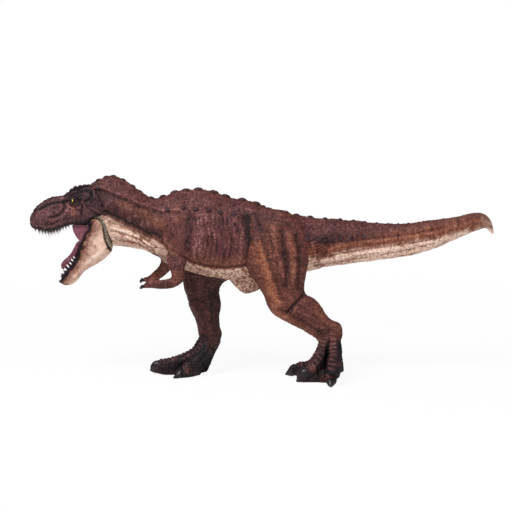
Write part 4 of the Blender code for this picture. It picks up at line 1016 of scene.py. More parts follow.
def torso_relief(points):
    """Plates on the nape, wandering wrinkles on the flank, pebbles under the belly, and long creases
    on the throat and under the tail, on top of the drawn folds. It fades towards the tail's tip. The
    wash is lowered under the tail, which paints light onto the underside."""
    seen = side_view(points)
    relief, wash = drawn(seen, torso_folds)
    x = seen[:, 0]
    nape = 1 - below(seen, nape_edge, 6)
    throat = below(seen, throat_edge, 3) * smoothstep(184, 160, x)
    under = below(seen, belly_edge, 3) * smoothstep(180, 186, x)
    tail = smoothstep(268, 294, x)
    flank = (1 - nape) * (1 - np.maximum(throat, under))
    belly, under_tail = under * (1 - tail), under * tail
    plates = scales(points, 1.75 * mm)
    pebbles = scales(points * (0.7, 1, 1), 1.9 * mm, 70)
    relief += 0.6 * mm * nape * (plates - 0.45) + 0.35 * mm * belly * (pebbles - 0.4)
    wash += 0.5 * nape * smoothstep(0.3, 0.08, plates) - 0.12 * nape
    wash += 1.1 * belly * smoothstep(0.3, 0.05, pebbles)
    for where, pitch, slope, channel, reach, deep, dark in (
        (flank, 3.4, 84, 5, 4.5, 0.3, 0.27), (flank, 1.7, 96, 31, 3.0, 0.14, 0.16),
        (throat, 2.6, 24, 50, 3.4, 0.32, 0.5),
        (under_tail, 2.4, -8, 50, 4.5, 0.3, 0.4), (under_tail, 2.8, 80, 55, 1.6, 0.16, 0.2),
    ):
        lines = where * wrinkles(points, pitch * mm, slope, channel, reach)
        relief -= deep * mm * lines
        wash += dark * lines
    relief += 0.33 * mm * swell(points, 6 * mm, 9)
    # Less wash under the tail: painted light on its underside.
    return relief * (0.3 + 0.7 * smoothstep(500, 440, x)), wash - 0.1 * under_tail


# The strokes in the groove before the thigh (x 248) and behind the shoulder (x 190) are painted shade;
# the others lay navy paint.
navy_and_shade_strokes = (
    (0.95, 2.2, navy_band), (0.6, 5, ((120, 215), (132, 221), (147, 229), (160, 233))),
    (0.55, 4, ((284, 223), (298, 232))), (0.36, 6, ((247, 218), (249.5, 236), (249.5, 258))),
    (0.2, 6, ((191, 218), (188, 232), (187, 250))),
    (0.55, 5, ((296, 236), (318, 239), (341, 238), (372, 235))),
)


def torso_paint(points):
    """Cream below the throat's and the belly's edge, tan along their borders, and navy on the side of
    the neck, in the drawn strokes and in patches. Noise shakes every border. Near the head the navy
    deepens as painted shade where the skull's rear overhangs the neck, and some strokes are painted
    shade in the grooves behind the shoulder and before the thigh."""
    blur = 1.6 * swell(points, 2.4 * mm, 21)
    shifted = side_view(points) + blur[:, None]
    x, y = shifted.T
    throat = below(shifted, throat_edge, 5) * smoothstep(182, 150, x + blur)
    lowered = shifted - np.stack((0 * x, np.interp(x, (300, 335), (0, 2.5))), axis=1)
    under = below(lowered, belly_edge, np.interp(x, (290, 335), (2.5, 6.5))) * smoothstep(180, 185, x)
    belly = under * np.interp(x, (180, 228, 240, 262, 300, 318, 420), (0.82, 0.82, 0.7, 0.7, 1, 1, 1))
    pale = np.maximum(throat, belly)
    above = smoothstep(19, 2, np.interp(x, *np.array(belly_edge).T) - y) * smoothstep(178, 190, x)
    warm = stroke(shifted, ((124, 204), (140, 211), (155, 220), (162, 227)), 6)
    tan = most((
        0.7 * below(shifted, [(px, py - 5) for px, py in throat_edge], 8) * smoothstep(192, 168, x),
        0.3 * smoothstep(16, 0, np.abs(x - 170)) * smoothstep(225, 245, y),
        np.interp(x, (180, 290, 310, 350, 500), (0.45, 0.45, 0.9, 0.75, 0.75)) * above,
        0.5 * warm, under, 0.3 * patches(points, 14 * mm, 0.1, 0.8, 33),
    ))
    neck_side = below(shifted, nape_line, 6) * (1 - throat) * smoothstep(172, 140, x) * (1 - 0.4 * warm)
    # Navy deepens towards the head: painted shade where the skull's rear overhangs the neck.
    navy = most((
        neck_side * (0.52 + 0.3 * smoothstep(112, 98, x)), 0.45 * smoothstep(102, 93, x) * (1 - throat),
        0.3 * np.exp(-(((x - 168) / 13) ** 2) - ((y - 252) / 14) ** 2) * (1 - throat),
        0.3 * patches(points, 10 * mm, 0.2, 0.9, 35),
    ), shifted, navy_and_shade_strokes)
    tip = smoothstep(476, 490, x)
    pale, tan = np.maximum(pale, 0.4 * tip), np.maximum(tan, 0.6 * tip)
    return {"pale": pale * (1 - 0.7 * navy), "tan": tan, "navy": navy * (1 - 0.8 * pale)}


def dress(thing, relief_of, paint_of, neighbours=()):
    """Fillets a skin against its neighbours, presses its relief, and paints it: the creases hold wash
    and the raised parts are rubbed pale."""
    for others, reach in neighbours:
        fillet(thing, others, reach)
    if neighbours:
        relax(thing, 3)
    points = read_points(thing)
    relief, wash = relief_of(points)
    write_points(thing, keep_in(points + read_normals(thing) * relief[:, None]))
    paint(thing, wash=wash, rub=0.28 * smoothstep(0, 0.5 * mm, relief), **paint_of(points))


def put(thing, material, body, slot, *nodes):
    """Gives a finished piece its material, its body and the solids that it stands for. The slot is not
    used.
    """
    thing.data.materials.append(material)
    if nodes:
        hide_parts(*nodes)
    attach(thing, body)
    print(thing.name, len(thing.data.polygons), "faces")


torso_skin = fuse(mesh_object("torso_skin", torso_shell, keel_shell), torso_grain)
relax(torso_skin, 4)
dress(torso_skin, torso_relief, torso_paint, [(leg_points, 6 * mm), (arm_points, 3 * mm)])
put(torso_skin, back_vinyl, "figure", "hide", "torso")

# %% [markdown]
# ## Tail
#
# The tail is a moulding of its own, glued in the trunk's socket. Its skin starts a little inside the
# trunk's, as the filled joint of a painted figure shows no gap.

# %% Tail skin
tail_rings = rings_of(tail_rows(260), 80, egg=0.05)
lead = tail_rings[0:1].copy()
lead[:, :, 0] -= 1.2 * mm
tail_skin = fuse(mesh_object("tail_skin", shell_of(np.vstack((lead, tail_rings)))), tail_grain)
relax(tail_skin, 3)
dress(tail_skin, torso_relief, torso_paint)
put(tail_skin, back_vinyl, "figure", "hide", "tail")

# %% [markdown]
# ## Skull
#
# The upper head is a hollow moulding. Its skin is carved as the solid is, with the mouth's hollow and
# the room for the hinge, and then fused to an even skin. The crest, the brow, the rings round the eye
# and the furrows of the snout are pressed into it from lines drawn in the side view.

# %% Skull helpers


def skull_rows(steps):
    sizes = (head_length, head_length, head_half_width)
    return body_rows(skull_shares, steps, sizes, (neck_x, hinge_z))


skull_table = skull_rows(120)


def skull_half_width(x):
    return np.interp(x, skull_table[:, 2], skull_table[:, 5])


def upper_lip(x):
    return np.interp(x, skull_table[:, 2], skull_table[:, 3])


def upper_mouth_rings(inset, drop, steps=48, sides=40):
    """The mouth's hollow: a rounded box under the palate's line, inset from the skull's sides."""
    table = smooth_rows(palate_shares, steps)
    x = neck_x + head_length * table[:, 0]
    roof = hinge_z + head_length * table[:, 1] - drop
    rows = np.stack((x, roof, x, roof - head_length / 2, 0 * x, skull_half_width(x) - inset), axis=1)
    return rings_of(rows, sides, upper=0.6, lower=0.35)


def prism(outline, half_width, layers=2):
    """An outline of (x, z) points carried straight across the head."""
    x, z = np.asarray(outline, float).T
    ways = np.linspace(-1, 1, layers)
    return shell_of(np.stack([np.stack((x, half_width * way + 0 * x, z), axis=1) for way in ways]))


def ball(centre, radii, sides=32, rows=17):
    """An ellipsoid by two angles, its poles towards the sides."""
    polar, angle = np.linspace(0, np.pi, rows + 2)[1:-1][:, None], turns(sides)
    ways = (np.sin(polar) * np.cos(angle), np.cos(polar) + 0 * angle, np.sin(polar) * np.sin(angle))
    sides = [middle + radius * way for middle, radius, way in zip(centre, radii, ways)]
    return shell_of(np.stack(sides, axis=2))


def arc_of(start, end, radius, steps):
    """Points of an arc about the hinge, from one angle to another."""
    turn = np.linspace(start, end, steps)
    return np.stack((np.cos(turn), np.sin(turn)), axis=1) * radius + (hinge_x, hinge_z)


def hinge_room_outline(radius):
    """The room for the jaw's lobes: an arc round the hinge, open to the rear and below."""
    arc = arc_of(math.pi / 2, math.pi * 1.25, radius, 24)
    back, low = hinge_x + head_length, hinge_z - head_length
    return np.vstack(((back, hinge_z + radius), arc, (arc[-1, 0], low), (back, low)))


def behind_neck_outline(gap):
    face = np.array((neck_top, neck_foot)) + neck_forward * gap
    run = (neck_foot - neck_top) / np.linalg.norm(neck_foot - neck_top)
    far = 2 * torso_depth
    high, low = face[0] - run * far, face[1] + run * far
    back = -neck_forward * far
    return high, low, low + back, high + back


eye_x, eye_z = neck_x - 0.3 * head_length, hinge_z + 0.385 * head_length
eye_y = np.interp(eye_x, skull_table[:, 0], skull_table[:, 5]) * 0.86

# %% Skull skin
skull_shell = shell_of(rings_of(skull_rows(110), 64, 0.9, 0.35, 0.06))
skull = mesh_object("skull_skin", skull_shell)
hinge_room = hinge_room_outline(jaw_lobe_radius + lobe_room)
tools = [
    mesh_object("neck_cut", prism(behind_neck_outline(-2 * mm), 2 * torso_depth)),
    mesh_object("mouth_cut", shell_of(upper_mouth_rings(lip_wall, 0))),
    mesh_object("hinge_cut", prism(hinge_room, 2 * head_half_width)),
]
carve(skull, *tools)
fuse(skull, head_grain)
relax(skull, 2)
lip_raise = 1.1 * mm
points = read_points(skull)
seen = side_view(points)
raised = lip_raise * smoothstep(31, 37, seen[:, 0]) * smoothstep(70, 60, seen[:, 0])
points[:, 2] += raised * np.clip(1 - (points[:, 2] - upper_lip(points[:, 0])) / (4 * mm), 0, 1)
write_points(skull, points)
eye_turn = np.radians(np.linspace(-25, 205, 12))
eye_ring = np.stack((76 + 5.0 * np.cos(eye_turn), 202.6 + 4.6 * np.sin(eye_turn)), axis=1)
snout_crease = ((40.5, 209), (43.9, 206.9), (47.9, 204.5), (53.5, 202.9), (59.1, 202.1), (68, 201.5))
fossa_rear = ((64.7, 203), (66.3, 206.9), (64.5, 210.9), (61.5, 214.4), (56.7, 216.9), (50.3, 218.1))
casque = ((83, 192), (88, 190.8), (92, 192.5), (93.4, 196), (91, 200), (86.5, 201.5))
head_folds = [
    (-0.85, 1.3, 1.0, snout_crease), (0.5, 1.5, -0.1, [(x - 0.5, y - 3) for x, y in snout_crease]),
    (-0.8, 1.2, 0.9, fossa_rear), (0.55, 1.5, -0.1, [(x + 3, y + 2.4) for x, y in fossa_rear[1:]]),
    (-0.35, 4.0, 0.1, ((46, 212), (54, 210), (61, 208))), (-0.55, 1.1, 0.65, eye_ring),
    (0.4, 1.2, 0, [(76 + 1.5 * (x - 76), 202.6 + 1.5 * (y - 202.6)) for x, y in eye_ring]),
    (-0.6, 2.6, 0.35, ((71, 201), (76, 203), (80, 202))),
    (1.0, 2.2, 0, ((64.5, 198.8), (69, 196.6), (75, 195.8), (80, 197))), (-0.5, 1.0, 0.7, casque),
    (0.7, 1.5, 0, [(x + 1.8, y - 1.2) for x, y in casque[:4]]),
    (-0.45, 1.1, 0.6, ((82, 204), (84, 209), (82.5, 215))),
    (0.5, 2.0, 0, ((68, 212), (74, 214.6), (80, 213))),
    (-0.4, 1.1, 0.55, ((86, 204), (90, 209), (95, 212.5), (102, 216))),
    (
        0.25, 1.7, 0,
        ((31, 224.4), (36, 227.5), (42, 228.8), (50, 228.6), (60, 226), (72, 222), (86, 220.5)),
    ),
    (-0.25, 0.9, 0.3, ((33, 221.5), (38, 224.6), (45, 225.6), (53, 224.6), (61, 222.4), (70, 219))),
    (-0.5, 1.1, 0.8, ((34.6, 211.5), (36.6, 210.6))),
]
for step in range(12):
    x = 36.5 + 3.1 * step
    low = np.interp(x, (36, 45, 54, 62, 72), (223.6, 225, 224, 221.6, 217.6))
    head_folds.append((-0.25, 0.7, 0.4, ((x, low), (x + 0.6, low - 2.5), (x + 0.4, low - 5))))
lip_edge = (
    (28, 221), (31, 223), (33.4, 225), (38, 226.8), (47.7, 227.8), (54, 227.2), (60, 225), (64.6, 223),
    (72, 220.8), (88, 218.5), (91.4, 216), (104, 212),
)
crest_edge = (
    (60, 196), (66, 198.8), (72, 199), (80, 199.4), (86, 203), (92, 204), (98, 204), (110, 206),
)
head_strokes = (
    (0.8, 2.4, ((90.2, 204.5), (95.8, 206.1), (100.5, 206.9), (104.5, 210.9), (106.9, 215.7))),
    (0.85, 1.6, snout_crease), (0.7, 2.4, ((70, 200), (73, 197.8), (78, 197.8), (81, 201))),
    (0.55, 4, ((68, 220), (80, 219), (90, 216), (98, 213))),
)


def skull_relief(points):
    """The drawn folds, with pebbles that grow rough on the crest and fine wrinkles between them. It
    leaves the mouth's hollow smooth."""
    seen = side_view(points)
    outer = most((
        smoothstep(0.45, 0.85, np.abs(points[:, 1]) / skull_half_width(points[:, 0])),
        smoothstep(202, 197, seen[:, 1]), smoothstep(46, 38, seen[:, 0]),
    ))
    relief, wash = drawn(seen, head_folds)
    pebble = scales(points, 1.5 * mm, 60)
    ridge = np.interp(seen[:, 0], (30, 40, 56, 68, 96), (212, 205, 199, 197, 190))
    top = smoothstep(8, 0, seen[:, 1] - ridge)
    lines = wrinkles(points, 2.2 * mm, 40, 5, 2.2)
    relief += ((0.22 + 0.3 * top) * (pebble - 0.45) - 0.2 * lines + 0.2 * swell(points, 3 * mm, 9)) * mm
    wash += (0.3 + 0.3 * top) * smoothstep(0.3, 0.08, pebble) + 0.3 * lines
    return relief * outer, wash * outer


def skull_paint(points):
    """Navy on the lips, the crest, the cheek's row of scales and round the eye, with one rust spot left
    on the crest."""
    seen = side_view(points)
    shifted = seen + 0.7 * swell(points, 1.3 * mm, 21)[:, None]
    x, y = shifted.T
    crest = (1 - below(shifted, crest_edge, 3)) * smoothstep(60, 67, seen[:, 0])
    crest *= 1 - 0.85 * np.exp(-(((x - 87) / 4) ** 2) - ((y - 196) / 3.6) ** 2)
    bridge = np.interp(seen[:, 0], (30, 47, 62), (216, 201, 197))
    navy = most((
        0.85 * below(shifted, lip_edge, 3), crest * np.interp(x, (60, 92, 98), (1, 1, 0.75)),
        0.35 * smoothstep(8, 3, seen[:, 1] - bridge), 0.2 * smoothstep(90, 98, seen[:, 0]),
        0.6 * np.exp(-(((seen[:, 0] - 74) / 4.5) ** 2) - ((seen[:, 1] - 201) / 4) ** 2),
    ), shifted, head_strokes)
    tan = 0.6 * stroke(shifted, ((74, 208), (75.5, 212), (76, 214)), 2.2)
    return {"pale": 0 * tan, "tan": tan, "navy": navy}


dress(skull, skull_relief, skull_paint)
put(skull, head_vinyl, "figure", "hide", "skull")

# %% [markdown]
# ## Knobs
#
# A row of dark knobs runs along the spine, and a looser row of small ones along each side. The brow and
# the crest carry horny bumps, the snout's ridge is rugged, and a chain of dark scales closes the cheek
# against the neck. Each one is a low dome, an arc turned about its own axis and set into the skin.

# %% Knobs


def dome(centre, out, along, radius, height, sides=16, levels=7, point=0.6):
    """A closed knob: from its foot below the skin to its tip, the radius falls as a cosine raised to a
    power and the height rises as a sine. Radius is (along, across)."""
    out, along = unit(np.asarray(out, float)), np.asarray(along, float)
    along = unit(along - out * (along @ out))
    rise, turn = np.linspace(-0.5, np.pi / 2 * 0.97, levels), turns(sides)[None, :, None]
    width = np.cos(np.maximum(rise, 0)) ** point
    ring = radius[0] * np.cos(turn) * along + radius[1] * np.sin(turn) * np.cross(out, along)
    knob_tips.append(np.repeat(np.clip(np.sin(rise), 0, 1), sides))
    lift = height * np.sin(rise)[:, None, None] * out
    return shell_of(np.asarray(centre) + ring * width[:, None, None] + lift)


def tube(stations, steps=50, sides=28):
    """A round tube along stations of (picture x, picture y, y in mm, radius in mm)."""
    places = [(*from_view(px, py, y * mm), radius * mm) for px, py, y, radius in stations]
    rows = smooth_rows(places, steps)
    return hoops(rows[:, :3], (0, 1, 0.3), rows[:, None, 3:4], sides)


def knob_piece(name, shells, material, base, top):
    """Joins knobs into one piece, roughened by noise. Its navy goes from the base's to the top's."""
    tips = np.concatenate(knob_tips)
    knob_tips.clear()
    thing = mesh_object(name, *shells)
    points = read_points(thing)
    grain = 0.12 * mm * swell(points, 0.9 * mm, 3)
    write_points(thing, keep_in(points + read_normals(thing) * grain[:, None]))
    navy = base + (top - base) * smoothstep(0.1, 0.7, tips)
    wash = 0.7 * smoothstep(0.35, 0, tips)
    paint(thing, pale=0 * tips, tan=0 * tips, navy=navy, rub=0.45 * tips, wash=wash)
    put(thing, material, "figure", "hide")


knob_tips = []
spine_knobs = (
    (98.8, 0.75), (106.4, 0.8), (114.2, 0.8), (124.3, 0.8), (133.7, 0.85), (140.8, 0.8), (152, 0.95),
    (162.7, 1.1), (174.3, 1.2), (186, 1.25), (198.4, 1.3), (214.8, 1.3), (226.4, 1.25), (242.5, 1.25),
    (256.8, 1.15), (264, 0.6), (270, 1.1), (284, 1.05), (296.5, 1.0), (310.4, 0.9), (325, 0.75),
    (340, 0.7), (353.5, 0.6), (364.5, 0.5), (376.5, 0.45), (388, 0.35), (398, 0.3), (408, 0.3),
    (418, 0.25), (428, 0.25),
)
side_knobs = (
    (99, 188.6), (168.6, 210.2), (184.1, 208.5), (196.7, 210.2), (209.4, 210.8), (220.8, 213),
    (234, 214.8), (306.4, 238.3), (319, 240), (329.8, 239.7), (340, 238.5), (350.6, 237.7),
    (364.2, 237),
)
back_rows = np.vstack((torso_rows(torso_shares, 200), tail_rows(200)))
order = np.argsort(back_rows[:, 0])
back_x, back_z = back_rows[order, 0], back_rows[order, 1]
shells = []
for px, size in spine_knobs:
    x = across_at(px)
    z = np.interp(x, back_x, back_z)
    slope = np.interp(x + mm, back_x, back_z) - np.interp(x - mm, back_x, back_z)
    radius = (2.4 * mm * size, 1.9 * mm * size)
    height = min(0.95 * mm * size + 0.25 * mm, 1.35 * mm)
    foot, out, along = (x, 0, z - 0.2 * mm), (-slope, 0, 2 * mm), (2 * mm, 0, slope)
    shells.append(dome(foot, out, along, radius, height, point=0.95))
skin_tree = tree_of(torso_shell, shell_of(tail_rings))
for px, py in side_knobs:
    for side in (-1, 1):
        found = on_skin(skin_tree, px, py, side)
        size = np.interp(px, (240, 310, 345, 365), (1.25, 1.35, 1.1, 0.7))
        radius = (1.5 * mm * size, 1.25 * mm * size)
        shells.append(dome(found[0], found[1], (1, 0, 0), radius, 0.8 * mm * size, 12, 6, 0.6))
knob_piece("back_knobs", shells, back_vinyl, 0.25, 1.0)

head_knobs = [
    (66.5, 196.6, 1.3, 1.0), (70.2, 194.6, 1.4, 1.1), (73.8, 193.2, 1.5, 1.1), (77.4, 192.6, 1.4, 1.0),
    (68.5, 199.6, 1.0, 0.6), (90.4, 204.6, 1.7, 0.6), (94.6, 205.6, 1.9, 0.7), (99, 206.8, 1.9, 0.8),
    (102.8, 209.8, 1.9, 0.8), (105.4, 213.8, 1.7, 0.7), (97, 202.8, 1.4, 0.5), (101.6, 204, 1.4, 0.5),
    (41, 205.8, 1.1, 0.6), (44.4, 203.4, 1.2, 0.65), (48.2, 201.2, 1.3, 0.7), (52.6, 199.8, 1.3, 0.7),
    (57, 199, 1.3, 0.7), (61.4, 198.9, 1.2, 0.6), (94, 184.5, 1.8, 0.8), (92, 189, 1.6, 0.7),
]
head_tree = tree_of(skull_shell, torso_shell)
shells = []
for px, py, radius, height in head_knobs:
    for side in (-1, 1):
        found = on_skin(head_tree, px, py, side)
        if found is None:
            continue
        centre, oval = found[0] - found[1] * 0.15 * mm, (radius * mm, 0.8 * radius * mm)
        shells.append(dome(centre, found[1], (1, 0, 0), oval, height * mm, 14, 7))
ridge_knobs = (
    (35.2, 0.1), (38.4, 0.3), (41.6, 0.25), (45.4, 0.5), (49.4, 0.4), (53.6, 0.5), (57.4, 0.3),
    (61.2, 0.45), (64.6, 0.3), (68, 0.85), (72.2, 0.9), (76, 1.1), (80.8, 0.8), (85.4, 0.6), (89.6, 0.6),
)
for px, size in ridge_knobs:
    x = across_at(px)
    z = np.interp(x, skull_table[:, 0], skull_table[:, 1])
    slope = np.interp(x + mm, skull_table[:, 0], skull_table[:, 1]) - z
    foot, out, along = (x, 0, z - 0.25 * mm), (-slope, 0, mm), (1, 0, slope / mm)
    oval = (1.5 * mm, 2.2 * mm if px > 66 else 1.8 * mm)
    shells.append(dome(foot, out, along, oval, (0.25 + 1.05 * size) * mm))


def band_shell(line, radius, sink=0.3, steps=40, sides=12):
    """A tube laid along a line of the side view on the head, for each side, sunk by a share of its
    radius. Its radius swells from nothing at both ends."""
    made = []
    for side in (-1, 1):
        found = [on_skin(head_tree, px, py, side) for px, py in line]
        places = [hit[0] - hit[1] * sink * radius for hit in found if hit is not None]
        spine = smooth_rows(places, steps)
        swelling = radius * np.sqrt(np.sin(np.linspace(0.06, np.pi - 0.06, steps)))[:, None, None]
        made.append(shell_of(hoops(spine, (0, side, 0.2), swelling, sides)))
        knob_tips.append(np.full(steps * sides, 0.55))
    return made


head_bands = (
    (1.25, 0.3, (
        (82, 190.6), (86.5, 189), (91, 188.9), (94.5, 191), (96, 195), (95.2, 199), (92.4, 201.8)
    )),
    (0.95, 0.3, ((65.5, 199.4), (69, 197.2), (74, 196.2), (79, 197), (82, 199.6))),
    (0.5, -0.6, ((70.2, 201.2), (72, 199.2), (74.4, 198.7), (76.8, 199.6), (78, 201.4))),
    (0.4, -0.2, ((70.6, 202), (72.4, 203.6), (74.6, 204), (76.8, 203.2), (78, 201.6))),
)
for radius, sink, line in head_bands:
    shells += band_shell(line, radius * mm, sink)
knob_piece("head_knobs", shells, head_vinyl, 0.7, 0.95)

# %% [markdown]
# ## Legs
#
# Each leg is one moulding with its toes. The skin is the run of outlines down to the foot, fused with
# three toes and with the raised bones that run into them. Horn plates lie across the bones and the
# toes, and every toe ends in a smooth claw.

# %% Legs
left_leg_folds = [
    (-0.45, 1.8, 0.25, ((256, 214), (260, 229.7), (263.3, 243), (269, 261.8), (276, 280.2), (282, 299))),
    (-1.0, 2.8, 0.3, ((281.5, 231), (283, 244.6), (286, 259.6), (287.4, 273.3), (286.3, 285))),
    (0.7, 3.2, 0, ((289.5, 236), (292, 250), (293, 266), (292, 280))),
    (0.5, 3.4, 0, ((273, 226), (276, 246), (280, 264), (283, 282))),
    # The wash along the thigh's rear edge paints its shadow.
    (-0.7, 1.8, 0.45, ((296, 236), (298.9, 250.4), (299.5, 267.6), (297.8, 288))),
    (-1.0, 1.5, 0.7, ((303, 295), (297, 301), (291, 308), (286, 313))),
    (0.5, 2.2, 0, ((306, 299), (300, 304), (294, 311))),
    (0.7, 4.0, 0, ((260.7, 246), (268.7, 275), (277.9, 304))),
    (0.6, 3.4, 0, ((276, 313), (288, 320.5), (304, 330.5), (318, 339))),
    (-0.5, 1.5, 0.35, ((280, 309), (292, 315), (306, 323.5), (320, 332))),
    (-0.35, 1.4, 0.3, ((296, 303), (308, 311), (320, 321), (330, 330))),
    (-0.2, 1.6, 0.1, ((268, 226), (271, 244), (277, 266), (282, 284))),
    (-0.9, 1.4, 0.9, ((328.5, 340), (327.5, 352), (326.5, 364), (325.5, 372))),
    (-0.5, 1.2, 0.6, ((322, 352), (319, 359), (313, 365))),
    (-0.6, 1.1, 0.6, ((304.5, 366), (307, 373), (307.5, 381))),
    (0.5, 2.6, -0.2, ((312, 370), (314, 376))),
    (-0.45, 1.1, 0.55, ((317, 366), (319.4, 373), (318, 381))),
    (-0.4, 1.0, 0.5, ((295, 362.5), (296.6, 367), (296, 372))),
    (-0.4, 1.0, 0.5, ((304, 362), (305, 366))),
]
right_leg_folds = [
    (-0.5, 2.2, 0.3, ((192, 286), (197, 304), (204, 318), (206, 334))),
    (0.5, 2.6, 0, ((187, 288), (191, 304), (198, 318), (200, 332))),
    (-0.5, 1.6, 0.3, ((209, 288), (212, 305), (212, 322))),
    (-0.45, 1.2, 0.4, ((188, 302), (196, 299), (206, 303))),
    (-0.5, 1.6, 0.35, ((203, 336), (209, 344), (213, 352))),
    (-0.6, 1.3, 0.7, ((204, 349), (193, 357), (182, 365), (175, 371))),
    (-0.45, 1.0, 0.6, ((180, 367), (182.4, 372), (181, 378))),
    (-0.4, 1.0, 0.5, ((190, 362), (193, 369), (192, 377))),
    (0.5, 2.2, -0.3, ((186, 368), (187.5, 373))),
    (-0.5, 1.2, 0.7, ((201, 358), (202.5, 366), (206, 374))),
    (-0.4, 1.0, 0.5, ((157, 361), (158.4, 366), (157.6, 372))),
    (-0.35, 1.0, 0.4, ((167, 360), (169, 367), (168, 374))),
]
plate_pitch = 2.7 * mm
toe_steps, claw_from = 60, 38
foot_top_left = ((296, 334), (312, 338), (322, 341), (334, 340), (350, 336))
foot_top_right = ((180, 346), (192, 338), (204, 339), (214, 345), (226, 348))


def banding(points, paths):
    """How much each point is on a horn plate and how much it is in a groove between two. Plates lie
    across the given paths of (x, y, z, reach): the place along is the nearest station's own, and a
    plate is one minus the cube of how far it is from the plate's middle."""
    plate, groove = np.zeros(len(points)), np.zeros(len(points))
    for path in paths:
        reach, line = path[:, 3].max(), path[:, :3]
        beside = np.flatnonzero(
            np.all((points > line.min(axis=0) - reach) & (points < line.max(axis=0) + reach), axis=1)
        )
        if not len(beside):
            continue
        heading, run = unit(np.gradient(line, axis=0)), run_along(line)
        away = points[beside][:, None, :] - line
        far = np.linalg.norm(away, axis=2)
        nearest = far.argmin(axis=1)
        ahead = (away[np.arange(len(beside)), nearest] * heading[nearest]).sum(axis=1)
        along = (run[nearest] + np.clip(ahead, -0.3 * mm, 0.3 * mm)) / plate_pitch
        along += 0.3 * swell(points[beside], 4 * mm, 41)
        off = far.min(axis=1) / path[nearest, 3]
        share = smoothstep(1.0, 0.7, off) * smoothstep(0, 5 * mm, run[nearest])
        share *= smoothstep(0, 4 * mm, run[-1] - run[nearest])
        bar = 1 - np.abs(2 * (along - np.floor(along)) - 1) ** 3
        plate[beside] = np.maximum(plate[beside], share * bar * (1 - 0.5 * off**2))
        groove[beside] = np.maximum(groove[beside], share * smoothstep(0.5, 0.1, bar))
    return plate, groove


def leg_relief(folds, foot_top, paths):
    """Horn plates along the paths, pebbles on the rest of the foot, and wrinkles above it."""
    def relief_of(points):
        seen = side_view(points, near=False)
        foot = below(seen, foot_top, 12)
        relief, wash = drawn(seen, folds)
        plate, groove = banding(points, paths)
        clear = foot * (1 - np.maximum(plate, groove))
        cells = scales(points, 1.9 * mm, 40)
        lines = (1 - foot) * wrinkles(points, 1.9 * mm, 8, 5, 2.6)
        fine = (1 - foot) * wrinkles(points, 2.6 * mm, 64, 15, 2.2)
        relief += (0.35 * clear * (cells - 0.4) + 0.75 * plate - 0.15 * groove) * mm
        relief += (0.3 * swell(points, 6 * mm, 9) - 0.2 * lines - 0.1 * fine) * mm
        wash += 0.4 * clear * smoothstep(0.3, 0.08, cells) + 0.4 * groove - 0.25 * plate
        wash += 0.26 * lines + 0.08 * fine
        return relief * smoothstep(0.2 * mm, 1.4 * mm, points[:, 2]), wash
    return relief_of


def leg_paint(foot_top, paths, bands, leg_navy_and_shade, dark):
    """Navy on the foot and in the drawn strokes, tan in the drawn bands, and patches of both. The
    strokes lay both navy paint and painted shade, and dark lays navy over the whole leg as painted shade
    on the far side.
    """
    def paint_of(points):
        shifted = side_view(points, near=False) + 2 * swell(points, 3 * mm, 21)[:, None]
        spots = patches(points, 5 * mm, 0, 0.7, 37)
        foot = below(shifted, foot_top, 14) * (1 - 0.3 * banding(points, paths)[0]) * (1 - 0.5 * spots)
        navy = most((foot, 0.25 * patches(points, 10 * mm, 0.2, 0.9, 35)), shifted, leg_navy_and_shade)
        tan = most(
            (0.2 * patches(points, 12 * mm, 0, 0.8, 33), 0.3 * below(shifted, foot_top, 8) * spots),
            shifted, bands,
        )
        # Dark raises the navy everywhere: painted shade over the far leg.
        return {"pale": 0 * tan, "tan": tan, "navy": np.maximum(navy, dark + (1 - dark) * navy)}
    return paint_of


left_bands = (
    (0.8, 7.5, ((259, 248), (263, 259), (269, 278), (277, 303))),
    (0.5, 5.5, ((276, 313), (288, 320), (304, 330), (316, 337))),
    (0.35, 4.2, ((290, 240), (293, 254), (293, 270))), (0.15, 6, ((272, 226), (275, 240))),
    (0.35, 5, ((318, 306), (322, 318))),
)
# Navy strokes on the near leg: the one along the thigh's rear edge (x 297 to 300) paints its shadow, and
# the others darken the thigh's grooves and patches with navy paint and painted shade.
left_navy_and_shade_strokes = (
    (0.42, 2.2, ((282.5, 232), (283.4, 244.6), (286, 259.6), (287.4, 273.3), (286.5, 283))),
    (0.3, 2.8, ((297, 236), (299.5, 252), (300, 270), (298, 290))),
    (0.4, 4, ((262, 216), (275, 219), (290, 226))), (0.28, 7, ((256, 212), (259, 226), (262, 238))),
    (0.3, 2.6, ((264, 242), (271, 268), (281, 299))), (0.35, 5, ((300, 318), (316, 330), (330, 336))),
)
# Navy strokes on the far leg: navy paint and painted shade.
right_navy_and_shade_strokes = (
    (0.5, 6, ((212, 288), (213, 320), (216, 345))), (0.35, 4, ((184, 290), (190, 312))),
    (0.6, 5, ((196, 334), (190, 346), (182, 354))),
)

